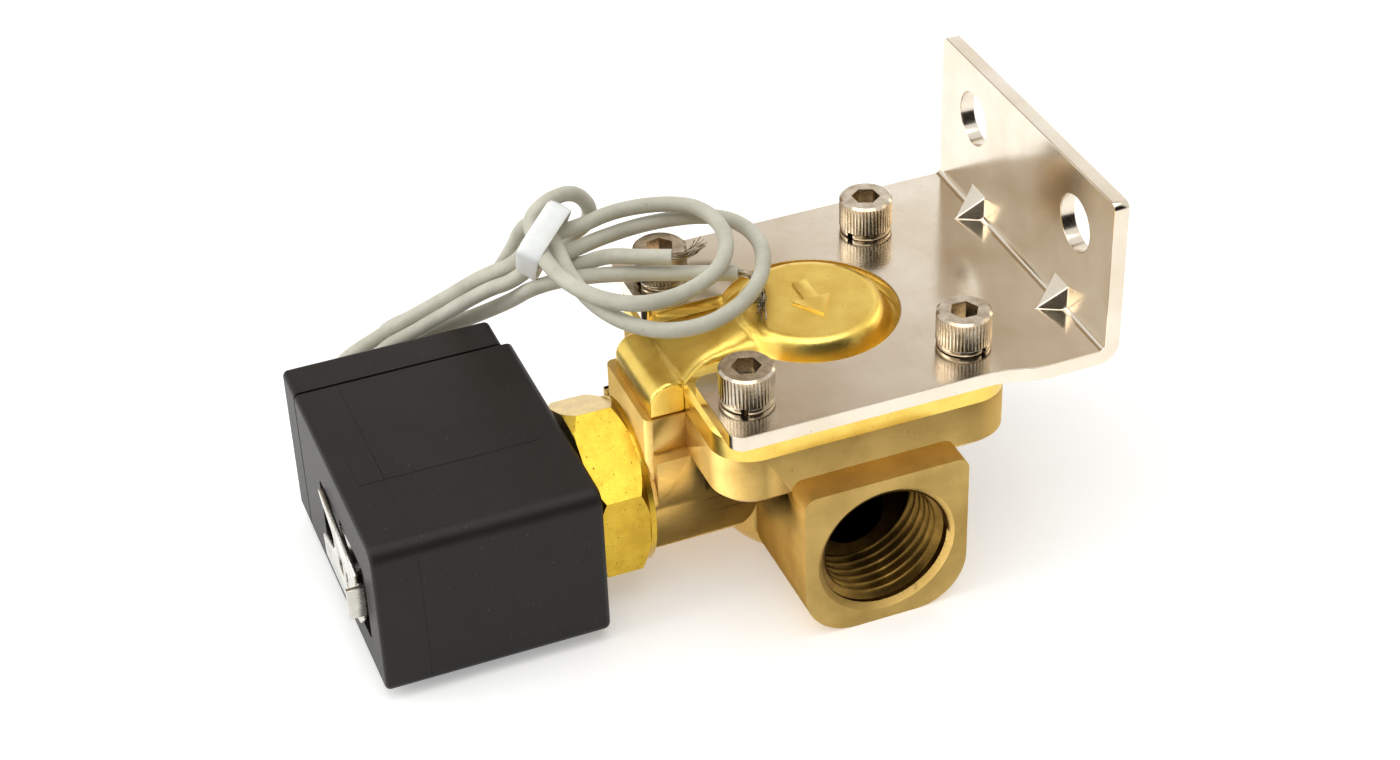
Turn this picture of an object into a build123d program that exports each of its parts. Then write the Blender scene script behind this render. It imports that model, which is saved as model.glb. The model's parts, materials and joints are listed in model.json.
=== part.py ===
from build123d import *
from math import radians, sqrt, tan
import os

# Pilot-operated two-port air valve with a solenoid lying on its side.
# Millimetres. The origin is the centre of the outlet port's mouth, +Y runs along the port axis into
# the body, +Z is up, and the solenoid points towards -X.

# Running and seating clearances
slide_gap = 0.08
seat_gap = 0.05
loose_gap = 0.3

# Body and ports
face_to_face = 58.4
mid_y = face_to_face / 2
boss_width = 27.0
boss_top_corner = 2.0
boss_low_corner = 8.5
port_bore_r = 10.48
port_mouth_r = 11.0
port_depth = 12.8
bowl_r = 16.6
bowl_bottom_z = -11.4
bowl_edge_r = 5.0
boss_sink = 6.64
flange_width = 48.0
flange_corner_r = 6.5
flange_bottom_z = 10.6
parting_z = 19.0
flange_draft_edge = 1.2

# Main valve
chamber_r = 14.0
chamber_floor_z = 5.0
seat_outer_r = 9.5
duct_r = 7.5
seat_z = 15.0
outlet_way_r = 5.4
outlet_way_z = -2.6
duct_sump = 0.6
inlet_way_r = 5.0
inlet_way_z = 5.2
inlet_way_wall = 0.4
way_overlap = 1.0
diaphragm_r = 17.5
diaphragm_rim = 1.2
diaphragm_web = 1.0
seat_disc_r = 9.8
seat_disc_thickness = 2.0
rivet_r = 3.0
rivet_head_r = 4.6
rivet_head_height = 0.8
retainer_r = 8.5
retainer_thickness = 1.2
main_lift = 3.0
spring_post_length = 1.0
diaphragm_bead_overlap = 0.6
diaphragm_fold_gap = 0.4
diaphragm_clamp = 1.2
main_spring_r = 4.6
main_spring_wire = 0.8
main_spring_turns = 3.0

# Bonnet
bonnet_thickness = 4.5
bonnet_edge = 0.8
dome_top_z = 27.9
dome_base_r = 13.2
dome_slope = 2.8
dome_shoulder_r = 2.0
dome_edge_r = 1.4
cavity_r = 11.5
cavity_top_z = 22.9
spring_pocket_r = 6.2
spring_pocket_z = 25.9
neck_half_width = 8.2
neck_top_z = 24.9
neck_edge_r = 3.4
neck_overlap = 1.0
ridge_right_x = -23.9
ridge_top_z = 24.5
ridge_round_r = 4.2
ridge_fall_r = 1.0
ridge_near_y = 21.0
ridge_far_y = 38.6
arrow_length = 9.7
arrow_head_width = 5.6
arrow_head_length = 4.6
arrow_shaft_width = 2.2
arrow_raise = 0.35
arrow_line = 0.55
arrow_root = 0.3
arrow_x = 0.4

# Bracket
plate_thickness = 2.5
plate_half_width = 26.5
plate_left_x = -23.5
plate_corner_r = 2.2
plate_slot_half_width = 9.4
plate_hole_r = 14.1
plate_slot_edge_r = 2.6
plate_slot_past = 2.0
flange_inner_x = 36.1
flange_half_width = 28.3
bracket_flange_height = 25.5
bracket_corner_r = 1.2
bend_inner_r = 0.9
flare_start_x = 18.0
flare_end_x = 27.0
fixing_pitch = 34.0
fixing_height = 16.1
fixing_hole_r = 4.5
dart_offset = 14.1
dart_leg = 4.2
dart_width = 4.6

# Screws and spring washers, M5
screw_edge = 6.3
screw_r = 2.45
thread_clearance = 0.05
screw_length = 16.0
head_r = 4.25
head_height = 4.9
head_edge = 0.4
socket_width = 4.0
socket_depth = 2.5
washer_r = 4.15
washer_thickness = 1.1
washer_slit = 0.8
screw_hole_r = 2.75

# Solenoid axis and pilot
coil_y = mid_y + 2.0
coil_z = 1.5
pilot_r = 12.0
pilot_face_x = -30.5
pilot_pocket_r = 9.1
pilot_pocket_depth = 6.0
pilot_head_r = 5.9
pilot_head_depth = 4.0
pilot_seat_r = 2.4
pilot_seat_height = 2.0
pilot_orifice_r = 0.7
pilot_nozzle_wall = 0.5
pilot_drain_r = 1.1
passage_x = -21.8
passage_r = 1.2
passage_z = 21.3
seal_ring_r = 2.9
seal_ring_height = 1.0
shelf_z = 12.8
shelf_step = 1.6
shelf_inset = 1.0
shelf_overlap = 1.0
shelf_edge = 0.9
saddle_edge_r = 1.2

# Hexagonal tube nut
nut_width = 26.0
nut_turn = 4.0
nut_length = 8.4
nut_chamfer = 1.5
nut_round = 0.35
nut_tip_gap = 0.1
nut_collar_r = 13.3
nut_collar_length = 0.9
nut_thread_length = 5.0

# Plunger tube and its parts
tube_r = 6.0
tube_wall = 0.5
tube_flange_length = 1.0
tube_end_x = -74.0
armature_r = tube_r - tube_wall - slide_gap
armature_rear_x = -50.0
armature_travel = 1.2
armature_stop_gap = 0.1
armature_seal_r = 2.6
armature_seal_proud = 0.4
armature_seal_depth = 2.0
armature_bore_r = 2.7
armature_bore_depth = 8.0
armature_slot = 1.0
armature_slot_height = 1.2
armature_spring_r = 2.1
armature_spring_wire = 0.5
armature_spring_turns = 6.0
shading_mean_r = 3.9
shading_width = 0.8
shading_depth = 1.2
tube_seal_mean_r = 7.6
tube_seal_width = 1.3
tube_seal_height = 1.0

# Coil housing and lid
housing_left_x = -76.5
housing_right_x = -40.6
housing_near_y = 12.1
housing_far_y = 54.9
housing_low_z = -11.6
housing_high_z = 15.1
housing_corner_r = 2.2
housing_wall = 2.4
housing_end_wall = 2.5
lid_right_x = -42.1
lid_far_y = 62.8
lid_wall = 2.0
lid_groove = 0.5
lid_lip = 2.4
band_near_y = 28.6
band_far_y = 35.6
band_left_x = -73.4
band_right_inset = 6.0
band_root = 1.0
band_raise = 0.2
recess_depth = 1.5
recess_near_y = 16.5
recess_far_y = 45.0
recess_low_z = -5.5
recess_high_z = 7.4
recess_corner_r = 2.0
board_inset = 8.0
board_thickness = 1.7
board_half_height = 7.0

# Electromagnet
bobbin_barrel_r = 7.0
bobbin_flange_r = 9.6
bobbin_flange = 1.2
winding_r = 9.3
yoke_thickness = 1.5
yoke_half_height = 8.5
yoke_near_y = 20.5
yoke_far_y = 44.5
stub_r = 4.0
stub_groove_r = 3.0
stub_head_length = 0.9
stub_groove_gap = 0.45
spring_pocket_depth = 0.6

# Retaining clip
clip_thickness = 0.8
clip_near_y = 17.6
clip_far_y = 43.2
clip_low_z = -4.6
clip_high_z = 6.0
clip_far_x = -76.9
clip_rise = 1.5
clip_tab_length = 3.6
clip_tab_rise = 1.0
clip_slot_half_width = 3.1
clip_prong_short = 4.5
clip_taper_length = 7.0
clip_taper_height = 1.2
clip_taper_lift = 0.1
clip_window_near_y = 22.2
clip_window_length = 3.4
clip_window_drop = 2.6
clip_window_rise = 0.4
clip_notch_y = 20.0
clip_notch_r = 1.5
clip_tab_step = 2.2

# Leads
lead_r = 1.25
lead_exit_inset = 10.0
lead_exit_pitch = 6.0
lead_exit_z = 6.0
grommet_r = 2.6
grommet_nose_r = 2.0
grommet_nose = 3.0
grommet_collar = 0.8
grommet_lip = 0.3
strand_r = 0.6
tie_thickness = 0.8
tie_width = 3.0
tie_opening_across = 5.8
tie_opening_along = 13.8

# Heights and places that follow from the sizes above
duct_bottom_z = outlet_way_z - outlet_way_r - duct_sump
ridge_left_x = pilot_face_x
dome_top_r = dome_base_r - dome_slope
screw_pitch = flange_width - 2 * screw_edge
lead_a_exit_x = housing_left_x + lead_exit_inset
lead_b_exit_x = lead_a_exit_x + lead_exit_pitch
bonnet_top_z = parting_z + bonnet_thickness
plate_top_z = bonnet_top_z + plate_thickness
flange_outer_x = flange_inner_x + plate_thickness
screw_seat_z = plate_top_z + washer_thickness
pocket_floor_x = pilot_face_x + pilot_pocket_depth
head_floor_x = pocket_floor_x + pilot_head_depth
pilot_seat_tip_x = head_floor_x - pilot_seat_height
armature_front_x = pilot_seat_tip_x - armature_seal_proud
nut_collar_x = pilot_face_x - nut_collar_length
nut_left_x = nut_collar_x - nut_length
core_face_x = armature_rear_x - armature_travel - armature_stop_gap
diaphragm_low_z = seat_z + seat_disc_thickness
retainer_z = diaphragm_low_z + diaphragm_web
coil_left_x = housing_left_x + housing_end_wall + loose_gap
coil_right_x = housing_right_x - housing_wall - loose_gap
grommet_tip_y = lid_far_y + grommet_nose
board_near_y = yoke_far_y + loose_gap
board_far_y = board_near_y + board_thickness
screw_places = [
    (x, mid_y + y)
    for x in (-screw_pitch / 2, screw_pitch / 2)
    for y in (-screw_pitch / 2, screw_pitch / 2)
]


def upright(radius, low, high, x=0.0, y=mid_y):
    """Solid cylinder along Z."""
    align = (Align.CENTER, Align.CENTER, Align.MIN)
    return Pos(x, y, low) * Cylinder(radius, high - low, align=align)


def along_x(radius, left, right, y=coil_y, z=coil_z):
    """Solid cylinder along X."""
    plane = Plane(origin=(left, y, z), x_dir=(0, 1, 0), z_dir=(1, 0, 0))
    return extrude(plane * Circle(radius), right - left)


def along_y(radius, near, far, x=0.0, z=0.0):
    """Solid cylinder along Y."""
    plane = Plane(origin=(x, near, z), x_dir=(1, 0, 0), z_dir=(0, 1, 0))
    return extrude(plane * Circle(radius), far - near)


def block(x0, x1, y0, y1, z0, z1):
    """Plain block between two corners."""
    return Pos((x0 + x1) / 2, (y0 + y1) / 2, (z0 + z1) / 2) * Box(x1 - x0, y1 - y0, z1 - z0)


def rounded_plate(width_x, width_y, corner, low, high, x=0.0, y=mid_y):
    """Flat plate with rounded upright corners."""
    return extrude(Pos(x, y, low) * RectangleRounded(width_x, width_y, corner), high - low)


def turned(points, y=mid_y, x=0.0):
    """Solid of revolution about an upright axis, from radius and height pairs."""
    face = make_face(Plane.XZ * Polyline(*points, close=True))
    return Pos(x, y, 0) * revolve(face, Axis.Z)


def coil_spring(radius, wire, turns, length):
    """Open helical spring that stands on the XY plane."""
    pitch = (length - wire) / turns
    path = Helix(pitch=pitch, height=length - wire, radius=radius)
    start = Plane(origin=path @ 0, z_dir=path % 0)
    return Pos(0, 0, wire / 2) * sweep(start * Circle(wire / 2), path=path)


def save(shape, name):
    export_step(shape, f"parts/{name}.step")


def port_boss(near, far):
    """Rounded square forging that carries one port."""
    outline = Rectangle(boss_width, boss_width)
    outline = fillet(outline.vertices().sort_by(Axis.Y)[:2], boss_low_corner)
    outline = fillet(outline.vertices().sort_by(Axis.Y)[-2:], boss_top_corner)
    plane = Plane(origin=(0, near, 0), x_dir=(1, 0, 0), z_dir=(0, -1, 0))
    return extrude(plane * outline, -(far - near))


def threaded_port(mouth_y, inward):
    """Bore of a port with the chamfer at its mouth."""
    plane = Plane(origin=(0, mouth_y, 0), x_dir=(1, 0, 0), z_dir=(0, inward, 0))
    bore = extrude(plane * Circle(port_bore_r), port_depth)
    lead_in = port_mouth_r - port_bore_r
    mouth = loft([plane * Circle(port_mouth_r), plane.offset(lead_in) * Circle(port_bore_r)])
    return bore + mouth


def make_valve_body():
    flange = rounded_plate(flange_width, flange_width, flange_corner_r, flange_bottom_z, parting_z)
    flange = chamfer(flange.faces().sort_by(Axis.Z)[0].edges(), flange_draft_edge)
    bowl = upright(bowl_r, bowl_bottom_z, parting_z - seal_ring_height)
    bowl = fillet(bowl.faces().sort_by(Axis.Z)[0].edges(), bowl_edge_r)
    overlap = bowl_r - boss_sink
    near_boss = port_boss(0, mid_y - overlap)
    far_boss = port_boss(mid_y + overlap, face_to_face)
    pilot = along_x(pilot_r, pilot_face_x, -overlap)
    saddle = block(ridge_left_x, passage_x, ridge_near_y, ridge_far_y, coil_z, parting_z)
    saddle = fillet(saddle.edges().filter_by(Axis.Z).group_by(Axis.X)[0], saddle_edge_r)
    shelf_near_y = ridge_near_y - shelf_step
    shelf_far_y = ridge_near_y + shelf_overlap
    shelf = block(ridge_left_x + shelf_inset, passage_x, shelf_near_y, shelf_far_y, coil_z, shelf_z)
    shelf_lines = shelf.edges().filter_by(Axis.X).sort_by(lambda e: e.center().Z - e.center().Y)
    shelf = chamfer(shelf_lines[-1:], shelf_edge)
    body = flange + bowl + near_boss + far_boss + pilot + saddle + shelf

    body -= threaded_port(0, 1)
    body -= threaded_port(face_to_face, -1)
    ring = upright(chamber_r, chamber_floor_z, parting_z) - upright(seat_outer_r, chamber_floor_z, seat_z)
    body -= ring
    body -= upright(diaphragm_r + seat_gap, parting_z - diaphragm_rim, parting_z)
    body -= upright(duct_r, duct_bottom_z, seat_z)
    body -= along_y(outlet_way_r, port_depth - way_overlap, mid_y, z=outlet_way_z)
    inlet_start = mid_y + seat_outer_r + inlet_way_wall
    body -= along_y(inlet_way_r, inlet_start, face_to_face - port_depth + way_overlap, z=inlet_way_z)
    for x, y in screw_places:
        body -= upright(screw_r + thread_clearance, flange_bottom_z, parting_z, x, y)
    body -= along_x(pilot_pocket_r, pilot_face_x, pocket_floor_x)
    body -= along_x(pilot_head_r, pocket_floor_x, head_floor_x)
    body -= along_x(pilot_seat_r + seat_gap, head_floor_x, head_floor_x + pilot_seat_height)
    body -= along_x(pilot_drain_r, head_floor_x, way_overlap - duct_r)
    seal_outer_r = tube_seal_mean_r + tube_seal_width / 2
    seal_floor_x = pocket_floor_x + tube_seal_height
    seal_groove = along_x(seal_outer_r, pocket_floor_x, seal_floor_x)
    seal_groove -= along_x(seal_outer_r - tube_seal_width, pocket_floor_x, seal_floor_x)
    body -= seal_groove
    body -= upright(passage_r, coil_z + pilot_head_r - way_overlap, parting_z, passage_x, coil_y)
    body -= upright(seal_ring_r + seat_gap, parting_z - seal_ring_height, parting_z, passage_x, coil_y)
    return body


def flow_arrow():
    """Raised outline of an arrow that points at the outlet."""
    half_head = arrow_head_width / 2
    half_shaft = arrow_shaft_width / 2
    tail = arrow_length / 2
    neck = -tail + arrow_head_length
    points = [
        (-half_shaft, tail),
        (half_shaft, tail),
        (half_shaft, neck),
        (half_head, neck),
        (0, -tail),
        (-half_head, neck),
        (-half_shaft, neck),
    ]
    outer = make_face(Polyline(*points, close=True))
    line = outer - offset(outer, -arrow_line, kind=Kind.INTERSECTION)
    return extrude(Pos(arrow_x, mid_y, dome_top_z - arrow_root) * line, arrow_raise + arrow_root)


def make_bonnet():
    plate = rounded_plate(flange_width, flange_width, flange_corner_r, parting_z, bonnet_top_z)
    plate = chamfer(plate.faces().sort_by(Axis.Z)[-1].edges(), bonnet_edge)
    dome = upright(dome_base_r, parting_z, dome_top_z)
    dome = chamfer(dome.faces().sort_by(Axis.Z)[-1].edges(), dome_base_r - dome_top_r)
    dome = fillet(dome.edges().filter_by(GeomType.CIRCLE).group_by(Axis.Z)[-2:][0], dome_shoulder_r)
    dome = fillet(dome.edges().filter_by(GeomType.CIRCLE).group_by(Axis.Z)[-1], dome_edge_r)
    neck_left_x = ridge_right_x - neck_overlap
    neck = block(neck_left_x, 0, mid_y - neck_half_width, mid_y + neck_half_width, parting_z, neck_top_z)
    neck = fillet(neck.edges().filter_by(Axis.X).group_by(Axis.Z)[-1], neck_edge_r)
    ridge = block(ridge_left_x, ridge_right_x, ridge_near_y, ridge_far_y, parting_z, ridge_top_z)
    ridge = fillet(ridge.edges().filter_by(Axis.Y).group_by(Axis.Z)[-1].sort_by(Axis.X)[0], ridge_round_r)
    ridge = fillet(ridge.edges().filter_by(Axis.Y).group_by(Axis.Z)[-1].sort_by(Axis.X)[-1], ridge_fall_r)
    bonnet = plate + dome + neck + ridge + flow_arrow()

    bonnet -= upright(cavity_r, parting_z, cavity_top_z)
    bonnet -= upright(spring_pocket_r, cavity_top_z, spring_pocket_z)
    bonnet -= along_x(passage_r, passage_x - passage_r, way_overlap - cavity_r, z=passage_z)
    bonnet -= upright(passage_r, parting_z, passage_z, passage_x, coil_y)
    for x, y in screw_places:
        bonnet -= upright(screw_hole_r, parting_z, bonnet_top_z, x, y)
    return bonnet


def plate_outline():
    """Plan of the bracket: it widens towards the bend."""
    w = plate_half_width
    half = flange_half_width
    edge = [
        Line((plate_left_x, w), (flare_start_x, w)),
        Spline((flare_start_x, w), (flare_end_x, half), tangents=[(1, 0), (1, 0)]),
        Line((flare_end_x, half), (flange_outer_x, half)),
        Line((flange_outer_x, half), (flange_outer_x, -half)),
        Line((flange_outer_x, -half), (flare_end_x, -half)),
        Spline((flare_end_x, -half), (flare_start_x, -w), tangents=[(-1, 0), (-1, 0)]),
        Line((flare_start_x, -w), (plate_left_x, -w)),
        Line((plate_left_x, -w), (plate_left_x, w)),
    ]
    outline = make_face(edge)
    outline = fillet(outline.vertices().group_by(Axis.X)[0], plate_corner_r)
    slot = Pos((plate_left_x - plate_slot_past) / 2, 0)
    slot *= Rectangle(plate_slot_past - plate_left_x, 2 * plate_slot_half_width)
    outline -= slot + Circle(plate_hole_r)
    outline = fillet(outline.vertices().group_by(Axis.X)[0], plate_slot_edge_r)
    return outline


def make_dart(y):
    """Small pressed dart that stiffens the bend."""
    profile = Plane.XZ * make_face(Polyline((0, 0), (-dart_leg, 0), (0, dart_leg), close=True))
    ridge = extrude(profile, dart_width / 2, both=True)
    dart_corners = [(-dart_leg, 0), (0, dart_width / 2), (0, dart_width), (-dart_leg, dart_width)]
    cutter = make_face(Polyline(*dart_corners, close=True))
    ridge -= extrude(cutter, dart_leg)
    ridge -= mirror(extrude(cutter, dart_leg), Plane.XZ)
    return Pos(flange_inner_x, y, plate_top_z) * ridge


def make_bracket():
    top = plate_top_z
    profile = [
        (plate_left_x, top),
        (flange_inner_x, top),
        (flange_inner_x, top + bracket_flange_height),
        (flange_outer_x, top + bracket_flange_height),
        (flange_outer_x, bonnet_top_z),
        (plate_left_x, bonnet_top_z),
    ]
    bent = make_face(Polyline(*profile, close=True))
    corner = bent.vertices().sort_by(lambda v: abs(v.X - flange_inner_x) + abs(v.Y - top))[0]
    bent = fillet(corner, bend_inner_r)
    heel = bent.vertices().sort_by(lambda v: abs(v.X - flange_outer_x) + abs(v.Y - bonnet_top_z))[0]
    bent = fillet(heel, bend_inner_r + plate_thickness)
    bracket = Pos(0, mid_y, 0) * extrude(Plane.XZ * bent, flange_half_width, both=True)
    rest = extrude(Pos(0, mid_y, parting_z) * plate_outline(), 2 * bracket_flange_height)
    bracket = bracket & rest
    tops = bracket.edges().filter_by(Axis.X).group_by(Axis.Z)[-1]
    bracket = fillet(tops, bracket_corner_r)
    for offset_y in (-dart_offset, dart_offset):
        bracket += make_dart(mid_y + offset_y)
    for x, y in screw_places:
        bracket -= upright(screw_hole_r, bonnet_top_z, plate_top_z, x, y)
    hole_z = plate_top_z + fixing_height
    for y in (mid_y - fixing_pitch / 2, mid_y + fixing_pitch / 2):
        bracket -= along_x(fixing_hole_r, flange_inner_x, flange_outer_x, y, hole_z)
    return bracket


def make_screws():
    screws = []
    for x, y in screw_places:
        head = upright(head_r, screw_seat_z, screw_seat_z + head_height, x, y)
        head = chamfer(head.faces().sort_by(Axis.Z)[-1].edges(), head_edge)
        shank = upright(screw_r, screw_seat_z - screw_length, screw_seat_z, x, y)
        socket_z = screw_seat_z + head_height - socket_depth
        socket = Pos(x, y, socket_z) * RegularPolygon(socket_width / 2, 6, major_radius=False)
        screws.append(head + shank - extrude(socket, socket_depth))
    return Compound(children=screws)


def make_washers():
    washers = []
    for x, y in screw_places:
        ring = upright(washer_r, plate_top_z, screw_seat_z, x, y)
        ring -= upright(screw_hole_r, plate_top_z, screw_seat_z, x, y)
        ring -= block(x - washer_slit / 2, x + washer_slit / 2, y - head_r, y, plate_top_z, screw_seat_z)
        washers.append(ring)
    return Compound(children=washers)


def make_main_diaphragm():
    """Moulded rubber ring, clamped at its rim, dished down to the seat disc."""
    rim_low = parting_z - diaphragm_rim
    points = [
        (rivet_r + seat_gap, diaphragm_low_z),
        (seat_disc_r + diaphragm_bead_overlap, diaphragm_low_z),
        (chamber_r - diaphragm_fold_gap, rim_low),
        (diaphragm_r, rim_low),
        (diaphragm_r, parting_z),
        (cavity_r + diaphragm_clamp, parting_z),
        (seat_disc_r, diaphragm_low_z + diaphragm_web),
        (rivet_r + seat_gap, diaphragm_low_z + diaphragm_web),
    ]
    return turned(points)


def make_retainer():
    """Plate, rivet and spring post that clamp the diaphragm to its seat disc."""
    head_low = seat_z - rivet_head_height
    points = [
        (0, head_low),
        (rivet_head_r, head_low),
        (rivet_head_r, seat_z),
        (rivet_r, seat_z),
        (rivet_r, retainer_z),
        (retainer_r, retainer_z),
        (retainer_r, retainer_z + retainer_thickness),
        (rivet_r, retainer_z + retainer_thickness),
        (rivet_r, retainer_z + retainer_thickness + spring_post_length),
        (0, retainer_z + retainer_thickness + spring_post_length),
    ]
    return turned(points)


def make_seat_disc():
    disc = upright(seat_disc_r, seat_z, seat_z + seat_disc_thickness)
    return disc - upright(rivet_r + seat_gap, seat_z, seat_z + seat_disc_thickness)


def make_main_spring():
    low = retainer_z + retainer_thickness
    spring = coil_spring(main_spring_r, main_spring_wire, main_spring_turns, spring_pocket_z - low)
    return Pos(0, mid_y, low) * spring


def make_passage_seal():
    low = parting_z - seal_ring_height
    ring = upright(seal_ring_r, low, parting_z, passage_x, coil_y)
    return ring - upright(passage_r, low, parting_z, passage_x, coil_y)


def make_pilot_seat():
    """Hardened nozzle pressed into the pilot floor."""
    sunk = head_floor_x + pilot_seat_height
    nozzle = along_x(pilot_seat_r, head_floor_x, sunk)
    foot = Plane(origin=(head_floor_x, coil_y, coil_z), z_dir=(-1, 0, 0)) * Circle(pilot_seat_r)
    tip = Plane(origin=(pilot_seat_tip_x, coil_y, coil_z), z_dir=(-1, 0, 0))
    cone = loft([foot, tip * Circle(pilot_orifice_r + pilot_nozzle_wall)])
    return nozzle + cone - along_x(pilot_orifice_r, pilot_seat_tip_x, sunk)


def make_tube_nut():
    plane = Plane(origin=(nut_left_x, coil_y, coil_z), x_dir=(0, 1, 0), z_dir=(1, 0, 0))
    hexagon = RegularPolygon(nut_width / 2, 6, major_radius=False, rotation=30 + nut_turn)
    nut = extrude(plane * hexagon, nut_length)
    round_r = nut_width / 2 + nut_round
    tip_r = nut_width / sqrt(3) + nut_tip_gap
    cone = revolve(
        make_face(
            Plane(origin=(0, coil_y, coil_z), x_dir=(1, 0, 0), z_dir=(0, -1, 0))
            * Polyline(
                (nut_left_x, 0),
                (nut_left_x, round_r),
                (nut_left_x + nut_chamfer, tip_r),
                (nut_collar_x - nut_chamfer, tip_r),
                (nut_collar_x, round_r),
                (nut_collar_x, 0),
                close=True,
            )
        ),
        Axis((0, coil_y, coil_z), (1, 0, 0)),
    )
    nut = nut & cone
    nut += along_x(nut_collar_r, nut_collar_x, pilot_face_x)
    nut += along_x(pilot_pocket_r - seat_gap, pilot_face_x, pilot_face_x + nut_thread_length)
    return nut - along_x(tube_r + seat_gap, nut_left_x, pilot_face_x + nut_thread_length)


def make_core_tube():
    flange_left = pilot_face_x + nut_thread_length
    tube = along_x(tube_r, tube_end_x, flange_left)
    tube += along_x(pilot_pocket_r - seat_gap, flange_left, pocket_floor_x)
    return tube - along_x(tube_r - tube_wall, tube_end_x, pocket_floor_x)


def make_tube_seal():
    outer_r = tube_seal_mean_r + tube_seal_width / 2 - seat_gap
    inner_r = tube_seal_mean_r - tube_seal_width / 2 + seat_gap
    floor_x = pocket_floor_x + tube_seal_height
    return along_x(outer_r, pocket_floor_x, floor_x) - along_x(inner_r, pocket_floor_x, floor_x)


def clip_x(y):
    """Place of the clip's inner face: it stands off further towards its near end."""
    return clip_far_x - clip_rise * (clip_far_y - y) / (clip_far_y - clip_near_y)


def make_fixed_core():
    groove_right = clip_x(coil_y) + stub_groove_gap
    groove_left = clip_x(coil_y) - clip_thickness - stub_groove_gap
    core = along_x(tube_r - tube_wall - seat_gap, tube_end_x, core_face_x)
    core += along_x(stub_r, groove_right, tube_end_x)
    core += along_x(stub_groove_r, groove_left, groove_right)
    core += along_x(stub_r, groove_left - stub_head_length, groove_left)
    core -= along_x(armature_spring_r + armature_spring_wire, core_face_x - spring_pocket_depth, core_face_x)
    outer = shading_mean_r + shading_width / 2
    ring = along_x(outer, core_face_x - shading_depth, core_face_x)
    ring -= along_x(outer - shading_width, core_face_x - shading_depth, core_face_x)
    return core - ring


def make_shading_ring():
    outer = shading_mean_r + shading_width / 2 - seat_gap
    inner = shading_mean_r - shading_width / 2 + seat_gap
    ring = along_x(outer, core_face_x - shading_depth, core_face_x)
    return ring - along_x(inner, core_face_x - shading_depth, core_face_x)


def make_armature():
    core = along_x(armature_r, armature_rear_x, armature_front_x)
    core -= along_x(armature_bore_r, armature_rear_x, armature_rear_x + armature_bore_depth)
    core -= along_x(armature_seal_r + seat_gap, armature_front_x - armature_seal_depth, armature_front_x)
    for side in (-1, 1):
        slot = block(
            armature_rear_x, armature_front_x, -armature_slot / 2, armature_slot / 2, 0, armature_slot_height
        )
        core -= Pos(0, coil_y + side * armature_r, coil_z - armature_slot_height / 2) * slot
    return core


def make_armature_seal():
    return along_x(armature_seal_r, armature_front_x - armature_seal_depth, pilot_seat_tip_x)


def make_armature_spring():
    left = core_face_x - spring_pocket_depth
    right = armature_rear_x + armature_bore_depth
    spring = coil_spring(armature_spring_r, armature_spring_wire, armature_spring_turns, right - left)
    return Pos(left, coil_y, coil_z) * (Rot(0, 90, 0) * spring)


def make_coil_housing():
    case = block(housing_left_x, housing_right_x, housing_near_y, housing_far_y, housing_low_z, housing_high_z)
    rounded = case.edges().filter_by(lambda e: e.center().Y < housing_far_y - seat_gap)
    case = fillet(rounded, housing_corner_r)
    band_right_x = housing_right_x - band_right_inset
    band_low_z = housing_high_z - band_root
    case += block(band_left_x, band_right_x, band_near_y, band_far_y, band_low_z, housing_high_z + band_raise)
    case -= block(
        housing_left_x + housing_end_wall,
        housing_right_x - housing_wall,
        housing_near_y + housing_wall,
        housing_far_y,
        housing_low_z + housing_wall,
        housing_high_z - housing_wall,
    )
    recess = block(
        housing_left_x, housing_left_x + recess_depth, recess_near_y, recess_far_y, recess_low_z, recess_high_z
    )
    case -= fillet(recess.edges().filter_by(Axis.X), recess_corner_r)
    case -= along_x(tube_r + loose_gap, housing_left_x, housing_left_x + housing_end_wall)
    case -= along_x(tube_r + loose_gap, housing_right_x - housing_wall, housing_right_x)
    return case


def make_coil_lid():
    near = housing_far_y + lid_groove
    lid = block(housing_left_x, lid_right_x, near, lid_far_y, housing_low_z, housing_high_z)
    rounded = lid.edges().filter_by(lambda e: e.center().Y > near + seat_gap)
    lid = fillet(rounded, housing_corner_r)
    inner_left = housing_left_x + housing_end_wall + seat_gap
    inner_right = housing_right_x - housing_wall - seat_gap
    inner_low = housing_low_z + housing_wall + seat_gap
    inner_high = housing_high_z - housing_wall - seat_gap
    lid += block(inner_left, inner_right, housing_far_y - lid_lip, near + lid_wall, inner_low, inner_high)
    lid -= block(
        inner_left + lid_wall,
        inner_right - lid_wall,
        housing_far_y - lid_lip,
        lid_far_y - lid_wall,
        inner_low + lid_wall,
        inner_high - lid_wall,
    )
    for x in (lead_a_exit_x, lead_b_exit_x):
        lid -= along_y(grommet_nose_r + seat_gap, lid_far_y - lid_wall, lid_far_y, x, lead_exit_z)
    return lid


def make_grommets():
    """Tapered rubber sleeve at each lead, with a collar on the lid."""
    sleeves = []
    for x in (lead_a_exit_x, lead_b_exit_x):
        sleeve = along_y(grommet_nose_r, lid_far_y - lid_wall, lid_far_y, x, lead_exit_z)
        sleeve += along_y(grommet_r, lid_far_y, lid_far_y + grommet_collar, x, lead_exit_z)
        plane = Plane(origin=(x, lid_far_y + grommet_collar, lead_exit_z), x_dir=(1, 0, 0), z_dir=(0, 1, 0))
        tip = plane.offset(grommet_nose - grommet_collar)
        sleeve += loft([plane * Circle(grommet_nose_r), tip * Circle(lead_r + grommet_lip)])
        sleeves.append(sleeve)
    return Compound(children=sleeves)


def make_bobbin():
    left = coil_left_x + yoke_thickness + seat_gap
    right = coil_right_x - yoke_thickness - seat_gap
    spool = along_x(bobbin_barrel_r, left, right)
    spool += along_x(bobbin_flange_r, left, left + bobbin_flange)
    spool += along_x(bobbin_flange_r, right - bobbin_flange, right)
    return spool - along_x(tube_r + seat_gap, left, right)


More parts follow.
